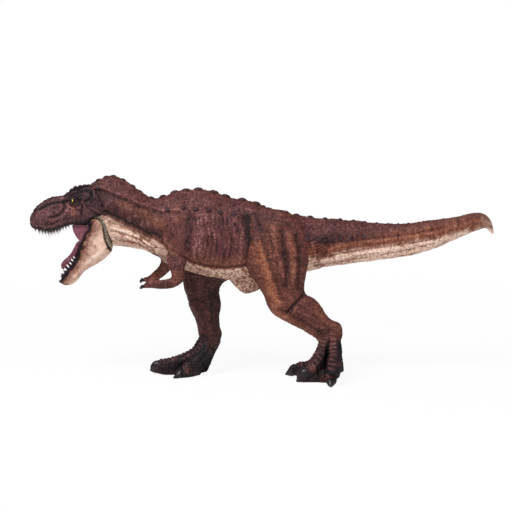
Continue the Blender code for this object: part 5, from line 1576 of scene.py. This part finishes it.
left_bones = (
    (
        (332, 333, -14.5, 4.0), (334.5, 345, -17, 4.4), (335, 356, -20, 4.6), (334, 366, -23, 5.0),
        (331.5, 375, -25.5, 5.0),
    ),
    (
        (328, 335, -13, 3.8), (326, 345, -14, 3.5), (323, 355, -14, 3.5), (318, 364, -13.8, 4.2),
        (311, 370.5, -13.4, 4.5), (306.5, 373, -13.4, 4.0),
    ),
    ((326, 337, -9.5, 3.4), (322.5, 349, -7, 3.2), (317, 359.5, -4.8, 3.2), (311, 366, -2.6, 3.4)),
    ((335.5, 330, -11, 3.4), (336, 346, -12, 3.6), (337, 360, -14, 3.9), (338, 372, -16.5, 4.0)),
)
right_bones = (
    (
        (207, 336, 13, 4.0), (201.5, 345, 12.5, 3.8), (195, 354, 12, 3.9), (184, 360.5, 12, 4.0),
        (172, 365, 12, 4.0),
    ),
    ((209, 342, 9, 3.6), (203, 353, 7, 3.6), (195, 362, 5, 4.2), (186, 369, 4, 4.4)),
    ((215.5, 340, 15, 3.8), (210, 351, 17, 3.8), (205, 362, 19.5, 4.0), (201, 371, 22, 4.0)),
)


def ridge_paths(parts, up, spread):
    """The line that faces a way on each tube, smoothed over seven stations, with how far its plates
    reach to the sides."""
    paths = []
    for part in parts:
        middle = part.mean(axis=1)
        best = ((part - middle[:, None, :]) @ np.array(up)).argmax(axis=1)
        line = part[np.arange(len(part)), best]
        width = spread * np.linalg.norm(line - middle, axis=1)
        padded = np.pad(line, ((3, 3), (0, 0)), "edge")
        line = np.stack([np.convolve(padded[:, axis], np.ones(7) / 7, "valid") for axis in range(3)], 1)
        paths.append(np.column_stack((line, width)))
    return paths


def slim(rings, top, share):
    """Leg outlines drawn in towards their middles below a height, to leave room for the bones."""
    middle = rings.mean(axis=1, keepdims=True)
    amount = 1 - (1 - share) * smoothstep(top, top - 12 * mm, middle[:, :, 2:3])
    return middle + (rings - middle) * np.concatenate((amount, amount, amount**0), axis=2)


def grown(rings, amount):
    """Outlines scaled about their own middles."""
    middle = rings.mean(axis=1, keepdims=True)
    return middle + (rings - middle) * amount


def make_leg(name, side, rings, toes, bones, folds, foot_top, bands, leg_navy_and_shade, dark):
    """Fuses a leg with its toes and bones, and returns the claws that grow from the toes' ends."""
    start = (hip_x, 0, -0.3 * mm)
    toe_rings = [
        digit_rings(toe, start, leg_reach, leg_length, side, toe_steps, 32) for toe in toes
    ]
    bone_rings = [tube(bone) for bone in bones]
    paths = ridge_paths(bone_rings[:3], (-0.62, 0.5 * side, 0.6), 1.15)
    paths += ridge_paths([part[6:40] for part in toe_rings], (-0.2, 0.1 * side, 1), 0.95)
    shells = [shell_of(part) for part in [slim(rings, 30 * mm, 0.62), *toe_rings, *bone_rings]]
    skin = fuse(mesh_object(f"leg_{name}_skin", *shells), leg_grain)
    for rounds in (3, 0):
        relax(skin, rounds)
        write_points(skin, np.maximum(read_points(skin), (-1, -1, 0)))
    paint_of = leg_paint(foot_top, paths, bands, leg_navy_and_shade, dark)
    dress(skin, leg_relief(folds, foot_top, paths), paint_of, [(torso_points, 6 * mm)])
    put(skin, leg_vinyl, "figure", "leg_hide", f"leg_{name}")
    along = np.linspace(0, 1, toe_steps - claw_from)[:, None, None]
    bulge = 1.02 + 0.22 * np.sin(np.pi * along) ** 0.6
    claws = [grown(part[claw_from:], bulge) for part in toe_rings]
    return [shell_of(np.maximum(claw, (-1, -1, 0.1 * mm))) for claw in claws]


# %% Horn of the claws
horn, tree, shader = new_material(
    "moulded horn, dark varnish", Roughness=0.38, IOR=1.5, Specular_IOR_Level=0.35
)
place = add_node(tree, "TexCoord")
streak = add_node(tree, "Mapping", [("Vector", place, "Object")], in_Scale=(0.35, 1, 1))
noise = add_node(tree, "TexNoise", [("Vector", streak, 0)], in_Scale=1 / (1.1 * mm), in_Detail=3.0)
ramp = add_node(tree, "ValToRGB", [("Fac", noise, "Fac")], ((0.35, "#050305"), (0.75, "#2f2226")))
bump = add_node(tree, "Bump", [("Height", noise, "Fac")], in_Strength=0.7, in_Distance=0.2 * mm)
wire(tree, shader, Base_Color=ramp, Normal=bump)

# %% Both legs
# The last number is the dark: half navy over the far, right leg paints its shade.
claws = make_leg(
    "left", -1, left_leg_rings, left_toe_shares, left_bones, left_leg_folds, foot_top_left, left_bands,
    left_navy_and_shade_strokes, 0.0,
) + make_leg(
    "right", 1, right_leg_rings, right_toe_shares, right_bones, right_leg_folds, foot_top_right, (),
    right_navy_and_shade_strokes, 0.5,
)
claw_lines = (
    (
        (308, 372, -13.4, 3.7), (304, 372.6, -13.4, 3.7), (300.4, 375, -13.5, 2.7),
        (297.6, 380, -13.6, 0.8),
    ),
    ((160, 366, 12, 2.8), (155, 365.6, 12, 2.5), (151.6, 367.8, 12, 1.7), (149.6, 371.4, 12, 0.6)),
)
claws += [shell_of(tube(line, 30, 20)) for line in claw_lines]

# %% [markdown]
# ## Arms
#
# The small arms are fused with two fingers each, in the same way as the legs.

# %% Arms


def arm_relief(points):
    """Fine pebbles and wrinkles."""
    pebble = scales(points, 1.3 * mm)
    lines = wrinkles(points, 1.7 * mm, 70, 5, 2.0)
    relief = (0.16 * (pebble - 0.45) - 0.16 * lines + 0.12 * swell(points, 2.5 * mm, 9)) * mm
    return relief, 0.3 * smoothstep(0.3, 0.08, pebble) + 0.35 * lines


def arm_paint(points):
    """Navy towards the claws, and patches of tan."""
    claw = smoothstep(shoulder_x - 0.84 * arm_length, shoulder_x - 0.92 * arm_length, points[:, 0])
    navy = np.maximum(claw, 0.3 * patches(points, 6 * mm, 0, 0.8, 35))
    return {"pale": 0 * claw, "tan": 0.25 + 0.3 * swell(points, 8 * mm, 33), "navy": navy}


def make_arm(name, side, rings, fingers):
    """Fuses an arm with its fingers, and returns the claws that sheathe the fingers' ends."""
    start = (shoulder_x, 0, shoulder_z)
    finger_rings = [digit_rings(part, start, arm_length, arm_length, side, 40, 24) for part in fingers]
    skin = mesh_object(f"arm_{name}_skin", *[shell_of(part) for part in (rings, *finger_rings)])
    relax(fuse(skin, arm_grain), 4)
    dress(skin, arm_relief, arm_paint, [(torso_points, 3 * mm)])
    put(skin, back_vinyl, "figure", "leg_hide", f"arm_{name}")
    return [shell_of(grown(part[24:], 1.5)) for part in finger_rings]


claws += make_arm("left", -1, left_arm_rings, left_finger_shares)
claws += make_arm("right", 1, right_arm_rings, right_finger_shares)
claw_piece = mesh_object("claws", *claws)
write_points(claw_piece, keep_in(read_points(claw_piece)))
put(claw_piece, horn, "figure", "leg_hide")

# %% [markdown]
# ## Lower jaw
#
# The jaw is a trough that turns on a steel pin. Its outlines are drawn shut, with the hinge as origin,
# and then turned open with everything that rides on it.

# %% Lower jaw


def turned(points, angle):
    """Points turned about the hinge's axis, which runs through the origin."""
    c, s = math.cos(angle), math.sin(angle)
    x, y, z = points.T
    return np.stack((x * c + z * s, y, z * c - x * s), axis=1)


def open_jaw(points):
    """Turns points of the shut jaw about the hinge to the open mouth."""
    return turned(points, jaw_open_angle) + hinge


def shut_jaw(points):
    """Turns points of the open mouth back to the shut jaw's own frame."""
    return turned(points - hinge, -jaw_open_angle)


def opened(shell):
    return open_jaw(shell[0]), shell[1]


def jaw_rows(steps, inset=0.0, lift=0.0):
    rows = body_rows(jaw_shares, steps, (-head_length, head_length, jaw_half_width))
    rows[:, 3] += lift
    rows[:, 5] -= inset
    return rows


jaw_table = jaw_rows(120)[::-1]


def jaw_lip(x):
    """The height and the half width of the shut jaw's lip."""
    return [np.interp(x, jaw_table[:, 0], jaw_table[:, column]) for column in (1, 5)]


def trough_rings(inset, lift, steps=60, sides=40):
    rows = jaw_rows(steps, inset, lift)
    rows = rows[(rows[:, 5] > inset) & (rows[:, 1] - rows[:, 3] > 2 * lift)]
    rows[:, 1] += head_length / 4
    return rings_of(rows, sides, upper=0.35, lower=0.7)


def cross_rod(half_length, radius, sides=64):
    """A round bar across the jaw, on the hinge's axis."""
    turn = turns(sides)
    return prism(radius * np.stack((np.cos(turn), np.sin(turn)), axis=1), half_length)


jaw_shell = shell_of(rings_of(jaw_rows(90), 64, 0.35, 0.85))
jaw = mesh_object("lower_jaw_skin", jaw_shell, cross_rod(jaw_half_width, jaw_lobe_radius))
fuse(jaw, solid_grain)
carve(
    jaw,
    mesh_object("trough_cut", shell_of(trough_rings(lip_wall, jaw_floor_thickness))),
    mesh_object("core_cut", cross_rod(core_half_width + seat_gap, core_radius + seat_gap, 96)),
)
fuse(jaw, head_grain)
relax(jaw, 2)
write_points(jaw, open_jaw(read_points(jaw)))
jaw_lip_line = (
    (91.2, 224), (89.6, 228.4), (86.6, 232.6), (84, 238), (81, 246), (78.6, 254), (74.6, 261),
    (71.2, 267.4), (66, 273.6), (60.4, 279.4),
)
jaw_rear_line = ((100.4, 221.5), (101.8, 226), (102.3, 231), (103.1, 237), (104.8, 243), (107, 247.5))


def jaw_band(line, inward, broad, thick, steps=60, sides=24):
    """A flat oval band along a line of the side view, on both walls of the jaw, in the jaw's outer
    face. Broad and thick are its half axes, and both swell from nothing at the ends."""
    places = smooth_rows(line, steps)
    y = np.full(steps, -9 * mm)
    for _ in range(3):
        spine = from_view(*places.T, y)
        y = -(jaw_lip(shut_jaw(spine)[:, 0])[1] - thick - 0.1 * mm)
    swelling = np.sqrt(np.sin(np.linspace(0.25, np.pi - 0.4, steps)))[:, None, None]
    rings = hoops(spine, (0, 1, 0), swelling, sides, broad, thick, inward)
    return shell_of(rings), shell_of(rings * (1, -1, 1))


lips = jaw_band(jaw_lip_line, 2.0 * mm, 2.4 * mm, 0.95 * mm)
rear_rims = jaw_band(jaw_rear_line, 0, 1.5 * mm, 0.9 * mm)
carve(jaw, mesh_object("lips", *lips, *rear_rims), operation="UNION")
fuse(jaw, head_grain)
relax(jaw, 1)
jaw_folds = [
    (-0.25, 1.0, 0.25, ((92, 230), (88, 243), (82, 255), (76, 267))),
    (-0.2, 0.8, 0.25, ((84, 246), (90, 250), (96, 254))),
    (-0.2, 0.8, 0.25, ((83, 250), (88, 254), (93, 259))),
    (-0.2, 0.8, 0.25, ((87, 240), (92, 243), (96, 246))),
    (0.4, 2.2, -0.1, ((106, 249), (98, 255), (90, 261), (82, 268), (76, 276))),
]


def jaw_relief(points):
    """Folds, streaks that run along the jaw, and small pits, all fading round the hinge."""
    seen = side_view(points)
    relief, wash = drawn(seen, jaw_folds)
    pale = smoothstep(5, 13, line_distance(seen, jaw_lip_line))
    streaks = wrinkles(shut_jaw(points), 1.5 * mm, 0, 50, 5.0) * (1 - 0.8 * pale)
    pits = smoothstep(0.5, 0.85, swell(points, 0.9 * mm, 70))
    relief += (0.14 * swell(points, 3 * mm, 9) - 0.14 * streaks - 0.15 * pits) * mm
    wash += 0.4 * streaks + (0.7 - 0.3 * pale) * pits
    return relief * smoothstep(3.5 * mm, 6 * mm, np.linalg.norm(points - hinge, axis=1)), wash


def jaw_paint(points):
    """Navy along the lip, at the tip and along the rear edge, and brown that fades to cream below."""
    seen = side_view(points)
    shifted = seen + 0.9 * swell(shut_jaw(points) * (0.4, 1, 1), 1.2 * mm, 21)[:, None]
    away = line_distance(shifted, jaw_lip_line)
    pale = smoothstep(0, 18, away + 2.5 * swell(points, 5 * mm, 27)) ** 0.8
    tip = smoothstep(66, 60, seen[:, 0]) * smoothstep(285, 279, seen[:, 1] + 0.3 * (seen[:, 0] - 58))
    rear_edge = ((103.6, 219), (105.2, 230.8), (106.2, 238), (108, 244), (111, 250))
    rear = smoothstep(2.2, 0.6, line_distance(shifted, rear_edge))
    navy = most((smoothstep(3.6, 1.8, away), 0.9 * tip, 0.85 * rear))
    return {"pale": pale * (1 - navy), "tan": 0.8 + 0 * pale, "navy": navy}


dress(jaw, jaw_relief, jaw_paint)
put(jaw, jaw_vinyl, "jaw", "jaw_hide", "lower_jaw")

# %% [markdown]
# ## Teeth
#
# Each tooth is a curved cone. The factory moulds them in ivory vinyl and washes their roots with dark
# paint, so a number on each point says how near the tip it is. The number is also lowered on each
# tooth's front and back edges, which paints shade there.

# %% Teeth


uneven = (1, 1.12, 0.88)


def row_path(x, half, height):
    """A horseshoe path: one side from its rear to the front, and the other side back."""
    side = np.stack((x, half, height), axis=1)
    return np.vstack((side[::-1] * (1, -1, 1), side))


def gum_shell(path, steps=140, sides=14):
    """A soft strip along a horseshoe path, an oval square to its heading."""
    run = smooth_rows(path, steps)
    return shell_of(upright_ovals(run, gum_width / 2, gum_height / 2, sides)), run


def tooth_shells(run, teeth, way, stretch, broad, levels=12, sides=12):
    """Cones along both halves of the path: the radius falls as one minus the height to the power 1.6,
    and the axis leans back with the square of the height. The second list holds each point's height,
    lowered on the tooth's front and back edges, which paints shade there."""
    shells, tips_and_edge_shade = [], []
    length_along = run_along(run)
    level, turn = np.linspace(-0.25, 1, levels)[:, None], turns(sides)[None, :]
    rise = np.clip(level, 0, 1)
    for place, (share, size) in enumerate(teeth):
        for half in (share / 2, 1 - share / 2):
            at = half * length_along[-1]
            centre = [np.interp(at, length_along, run[:, axis]) for axis in range(3)]
            length = tooth_length * size * stretch * uneven[place % 3]
            radius = tooth_width / 2 * (0.8 + 0.5 * size) * (1 - 0.93 * rise**1.6)
            x = centre[0] + radius * np.cos(turn) * broad + 0.2 * length * rise**2
            y = centre[1] + radius * np.sin(turn)
            z = centre[2] + way * (gum_height / 3 + level * length) + 0 * turn
            shells.append(shell_of(np.stack((x, y, z), axis=2)))
            # Lower towards the front and back of each tooth: painted shade on its edges.
            tips_and_edge_shade.append((rise * (1.05 - 0.62 * np.abs(np.cos(turn)) ** 2)).ravel())
    return shells, tips_and_edge_shade


ivory, tree, shader = new_material(
    "moulded ivory vinyl", Roughness=0.3, IOR=1.5, Subsurface_Weight=0.2,
    Subsurface_Radius=(1.0, 0.7, 0.5), Subsurface_Scale=0.6 * mm,
)
tip = add_node(tree, "Attribute", attribute_name="tip")
place = add_node(tree, "TexCoord")
mottle = add_node(tree, "TexNoise", [("Vector", place, "Object")], in_Scale=1 / (0.8 * mm), in_Detail=3)
add = add_node(tree, "Math", [(0, mottle, "Fac"), (2, tip, "Fac")], operation="MULTIPLY_ADD", in_1=0.3)
# Dark at the roots, white at the tips; the dark on the teeth's edges is painted shade.
root_to_tip = ((0.3, "#1f1518"), (0.55, "#8a7880"), (0.9, "#f4f2f0"))
wire(tree, shader, Base_Color=add_node(tree, "ValToRGB", [("Fac", add, 0)], root_to_tip))


def make_teeth(name, node, body, path, teeth, way, in_jaw, stretch, broad, whiteness):
    """A gum with its teeth as one piece, whose tip coat is whitest at the teeth's ends and lowered on
    their edges as painted shade.
    """
    gum, run = gum_shell(path)
    shells, tips_and_edge_shade = tooth_shells(run, teeth, way, stretch, broad)
    shells = [gum] + shells
    tips = np.concatenate([np.zeros(len(gum[0]))] + tips_and_edge_shade)
    thing = mesh_object(name, *[opened(shell) if in_jaw else shell for shell in shells])
    paint(thing, tip=whiteness * tips)
    put(thing, ivory, body, "teeth", node)


inset = lip_wall + seat_gap + gum_width / 2
table = smooth_rows(palate_shares, 60)
x = neck_x + head_length * table[:, 0]
half = skull_half_width(x) - inset
height = upper_lip(x) + gum_height / 2 + lip_raise
front = x[0] + seat_gap + gum_width / 2
keep = (x > front) & (x < hinge_x - lining_radius - seat_gap)
upper = row_path(x[keep], half[keep] - seat_gap + 0.2 * mm, height[keep])
middle = len(upper) // 2
nose = [(front, -half[keep][0] / 2, height[keep][0]), (front, half[keep][0] / 2, height[keep][0])]
upper = np.vstack((upper[:middle], nose, upper[middle:]))
shown_upper_teeth = [(share, 0.22 + 0.78 * size) for share, size in upper_tooth_shares]
make_teeth(
    "upper_teeth_row", "upper_teeth", "figure", upper, shown_upper_teeth, -1, False, 1.45, 0.9, 1.0
)
shown_lower_teeth = (
    (0.08, 0.6), (0.2, 0.75), (0.33, 0.9), (0.46, 1), (0.6, 0.8), (0.74, 1), (0.88, 0.85), (0.97, 0.7),
)
reach = np.linspace(0.62, 1.03, 60) * -head_length
lip, half = jaw_lip(reach)
half = half - lip_wall - seat_gap - gum_width / 2 - 0.45 * mm
lower = row_path(reach[::-1], half[::-1], (lip - gum_height / 2)[::-1])
make_teeth("lower_teeth_row", "lower_teeth", "jaw", lower, shown_lower_teeth, 1, True, 0.95, 1.3, 1.6)

# %% [markdown]
# ## The mouth's inside
#
# The mouth is painted in dusky pinks with a satin varnish that makes it look wet. The tongue has a
# groove along its middle, the lining between the jaws hangs in soft folds, and the grey block behind
# them is banded like a windpipe.

# %% Mouth materials and tongue


def flesh_material(name, cavity, middle, ridge, grain, roughness=0.3):
    """Satin varnished paint with soft folds: noise drives the colour, the roughness and the bump."""
    material, tree, shader = new_material(name, Roughness=roughness, IOR=1.5)
    place = add_node(tree, "TexCoord")
    noise = add_node(tree, "TexNoise", [("Vector", place, "Object")], in_Scale=1 / grain, in_Detail=4.0)
    wash = add_node(tree, "Attribute", attribute_name="wash")
    links = [(0, noise, "Fac"), (1, wash, "Fac")]
    tone = add_node(tree, "Math", links, operation="SUBTRACT", use_clamp=True)
    colours = ((0.12, cavity), (0.46, middle), (0.68, ridge))
    ramp = add_node(tree, "ValToRGB", [("Fac", tone, 0)], colours)
    rough = add_node(
        tree, "MapRange", [("Value", noise, "Fac")], in_1=0.3, in_2=0.7, in_3=roughness + 0.12,
        in_4=roughness - 0.05,
    )
    bump = add_node(tree, "Bump", [("Height", noise, "Fac")], in_Strength=1.0, in_Distance=0.25 * mm)
    wire(tree, shader, Base_Color=ramp, Roughness=rough, Normal=bump)
    return material


maroon = flesh_material("varnished maroon tongue", "#260f15", "#5e2c38", "#865260", 1.2 * mm)
pink = flesh_material("varnished pink mouth", "#42202a", "#743f4c", "#8a5662", 2.2 * mm)
olive = flesh_material("painted olive throat block", "#1f1715", "#75685a", "#9c8e7a", 1.4 * mm, 0.5)

rows = smooth_rows(tongue_shares, 90)
x, top = -head_length * rows[:, 0], head_length * rows[:, 1]
foot = jaw_lip(x)[0] - gum_height + seat_gap + head_length * rows[:, 2]
rows = np.stack((x, top, x, foot, 0 * x, tongue_half_width * rows[:, 3]), axis=1)
tongue_rings = rings_of(rows, 48)
groove = np.exp(-((tongue_rings[:, :, 1] / (0.8 * mm)) ** 2))
groove *= tongue_rings[:, :, 2] > top[:, None] * 0.5
tongue_rings[:, :, 2] -= 0.5 * mm * groove
tongue = mesh_object("tongue_skin", opened(shell_of(tongue_rings)))
paint(tongue, wash=(0.5 * groove).ravel())
put(tongue, maroon, "jaw", "mouth", "tongue")

# %% Lining and throat block


def about_hinge(points):
    """How far from the hinge's axis each point is, and at which angle."""
    away = points[:, [0, 2]] - (hinge_x, hinge_z)
    return np.linalg.norm(away, axis=1), np.arctan2(away[:, 1], away[:, 0])


lining_end = math.pi + math.acos((core_front_reach + seat_gap) / lining_radius)
arc = arc_of(math.pi + 0.02, lining_end, lining_radius, 40)
front = hinge_x - core_front_reach - seat_gap
lining_outline = np.vstack(((front, hinge_z - seat_gap), arc))
lining = mesh_object("mouth_lining_skin", prism(lining_outline, core_half_width, 24))
fuse(lining, mouth_grain)
carve(lining, mesh_object("throat_cut", ball(
    (hinge_x - lining_radius, 0, hinge_z - lining_radius / 2),
    (lining_radius / 3, core_half_width / 2, lining_radius / 3),
)), mesh_object("skull_room", skull_shell))
fuse(lining, 0.25 * mm)
relax(lining, 3)
points = read_points(lining)
angle = about_hinge(points)[1]
folds = np.exp(-((np.sin(angle * 7 + 1.2 * swell(points, 4 * mm, 4)) / 0.35) ** 2))
write_points(lining, points - read_normals(lining) * (0.12 * mm * folds)[:, None])
# The wash grows towards the lining's top near the hinge: painted shade.
paint(lining, wash=0.08 * folds + 0.3 * smoothstep(hinge_z - 5 * mm, hinge_z, points[:, 2]))
put(lining, pink, "figure", "mouth", "mouth_lining")


def core_outline(radius, front):
    """The throat block from the side: a small arc in front over the pin, a large one below."""
    upper = arc_of(math.pi / 2, math.pi - math.acos(front / jaw_lobe_radius), jaw_lobe_radius, 12)
    lower = arc_of(math.pi * 1.5 - math.asin(front / radius), 2 * math.pi, radius, 70)
    return np.vstack((upper, lower, (hinge_x + radius, hinge_z + jaw_lobe_radius)))


core_side = core_outline(core_radius, core_front_reach)
core = mesh_object("throat_core_skin", prism(core_side, core_half_width, 24))
fuse(core, solid_grain)
carve(core, mesh_object("neck_cut", prism(behind_neck_outline(seat_gap), 2 * torso_depth)))
fuse(core, mouth_grain)
relax(core, 3)
points = read_points(core)
reach, angle = about_hinge(points)
rim = smoothstep(11 * mm, 14 * mm, reach)
bands = np.exp(-((np.sin(angle * 9) / 0.4) ** 2)) * rim
write_points(core, points - read_normals(core) * (0.25 * mm * bands + 0.05 * mm)[:, None])
edge = smoothstep(core_radius - 1.1 * mm, core_radius - 0.2 * mm, reach)
paint(core, wash=0.3 * bands + 0.35 * edge)
put(core, olive, "figure", "throat", "throat_core")

collar_line = (
    (89.8, 218.8), (93, 217.2), (96.4, 216.6), (99.8, 217.2), (102.8, 219.4), (105.4, 223.6),
    (106.7, 230.5), (107.6, 237.2), (109.4, 243), (111.8, 247.4),
)
collar_steps, collar_sides = 240, 18
places = smooth_rows(collar_line, collar_steps)
collar = []
for side in (-1, 1):
    spine = from_view(*places.T, np.full(collar_steps, -(core_half_width + 0.7 * mm))) * (1, -side, 1)
    bulge = np.abs(np.sin(np.pi * run_along(spine) / (2.1 * mm))) ** 0.5
    ends = np.sqrt(np.sin(np.linspace(0.3, np.pi - 0.3, collar_steps)))
    thick = 1.15 * mm * (0.72 + 0.28 * bulge) * ends
    rings = hoops(spine, (0, 1, 0), thick[:, None, None], collar_sides)
    collar.append((shell_of(rings), np.repeat(0.45 * smoothstep(0.6, 0.2, bulge), collar_sides)))
windpipe = mesh_object("throat_rings", *[part[0] for part in collar])
paint(windpipe, wash=np.concatenate([part[1] for part in collar]))
put(windpipe, olive, "figure", "throat")

# A dark flap round the top and front of the hinge, where the head's cheek overhangs the jaw: a dark
# sheet that paints the shade there, not a moulded part.
flap_start, flap_end = math.pi * 0.38, math.pi * 1.22
flap_in = arc_of(flap_start, flap_end, jaw_lobe_radius - 0.6 * mm, 40)
flap_out = arc_of(flap_end, flap_start, jaw_lobe_radius + 1.8 * mm, 40)
flap = mesh_object("hinge_flap", prism(np.vstack((flap_in, flap_out)), core_half_width - mm, 16))
fuse(flap, mouth_grain)
relax(flap, 3)
hinge_shade_flesh = flesh_material("varnished dark flesh", "#150c10", "#2c1a20", "#4b3138", 1.6 * mm)
put(flap, hinge_shade_flesh, "figure", "mouth")

# %% [markdown]
# ## Eyes and pin
#
# The eyes are glossy yellow beads with a slit pupil. The pin is drawn steel wire, so its fine scratches
# run along it: noise stretched twenty times that way drives the roughness and a faint bump.

# %% Eyes


def eye_material():
    """Enamel under clear varnish: the pupil is a narrow upright oval and the rim is dark."""
    material, tree, shader = new_material("varnished yellow eye", Roughness=0.12, IOR=1.5)
    pupil = add_node(tree, "Attribute", attribute_name="pupil")
    rings = ((0.14, "#14100a"), (0.2, "#fbee4a"), (0.42, "#f0dc32"), (0.5, "#2a1c10"))
    wire(tree, shader, Base_Color=add_node(tree, "ValToRGB", [("Fac", pupil, "Fac")], rings))
    return material


amber = eye_material()
for side, name in ((-1, "left"), (1, "right")):
    eye = mesh_object(f"eye_{name}_bead", ball((eye_x, side * eye_y, eye_z), [eye_radius] * 3, 40, 25))
    points = (read_points(eye) - (eye_x, side * eye_y, eye_z)) / eye_radius
    pupil = np.sqrt((points[:, 0] / 0.42) ** 2 + (points[:, 2] / 0.9) ** 2)
    paint(eye, pupil=np.clip(pupil, 0, 1.6) / 1.6)
    put(eye, amber, "figure", "eye", f"eye_{name}")

# %% Steel pin and the mouth's hidden faces
scratch_width = 0.25 * mm
steel, tree, shader = new_material("drawn steel", Metallic=1.0, Base_Color=linear("#b9b7b3"))
place = add_node(tree, "TexCoord")
drawn_out = add_node(tree, "Mapping", [("Vector", place, "Object")], in_Scale=(1, 0.05, 1))
scratch = add_node(tree, "TexNoise", [("Vector", drawn_out, 0)], in_Scale=1 / scratch_width, in_Detail=4)
rough = add_node(tree, "MapRange", [("Value", scratch, "Fac")], in_1=0.3, in_2=0.7, in_3=0.2, in_4=0.42)
bump = add_node(tree, "Bump", [("Height", scratch, "Fac")], in_Strength=0.5, in_Distance=0.02 * mm)
wire(tree, shader, Roughness=rough, Normal=bump)
for node, material in (("palate", pink), ("mouth_floor", pink), ("jaw_pin", steel)):
    bpy.data.objects[node].data.materials.clear()
    bpy.data.objects[node].data.materials.append(material)
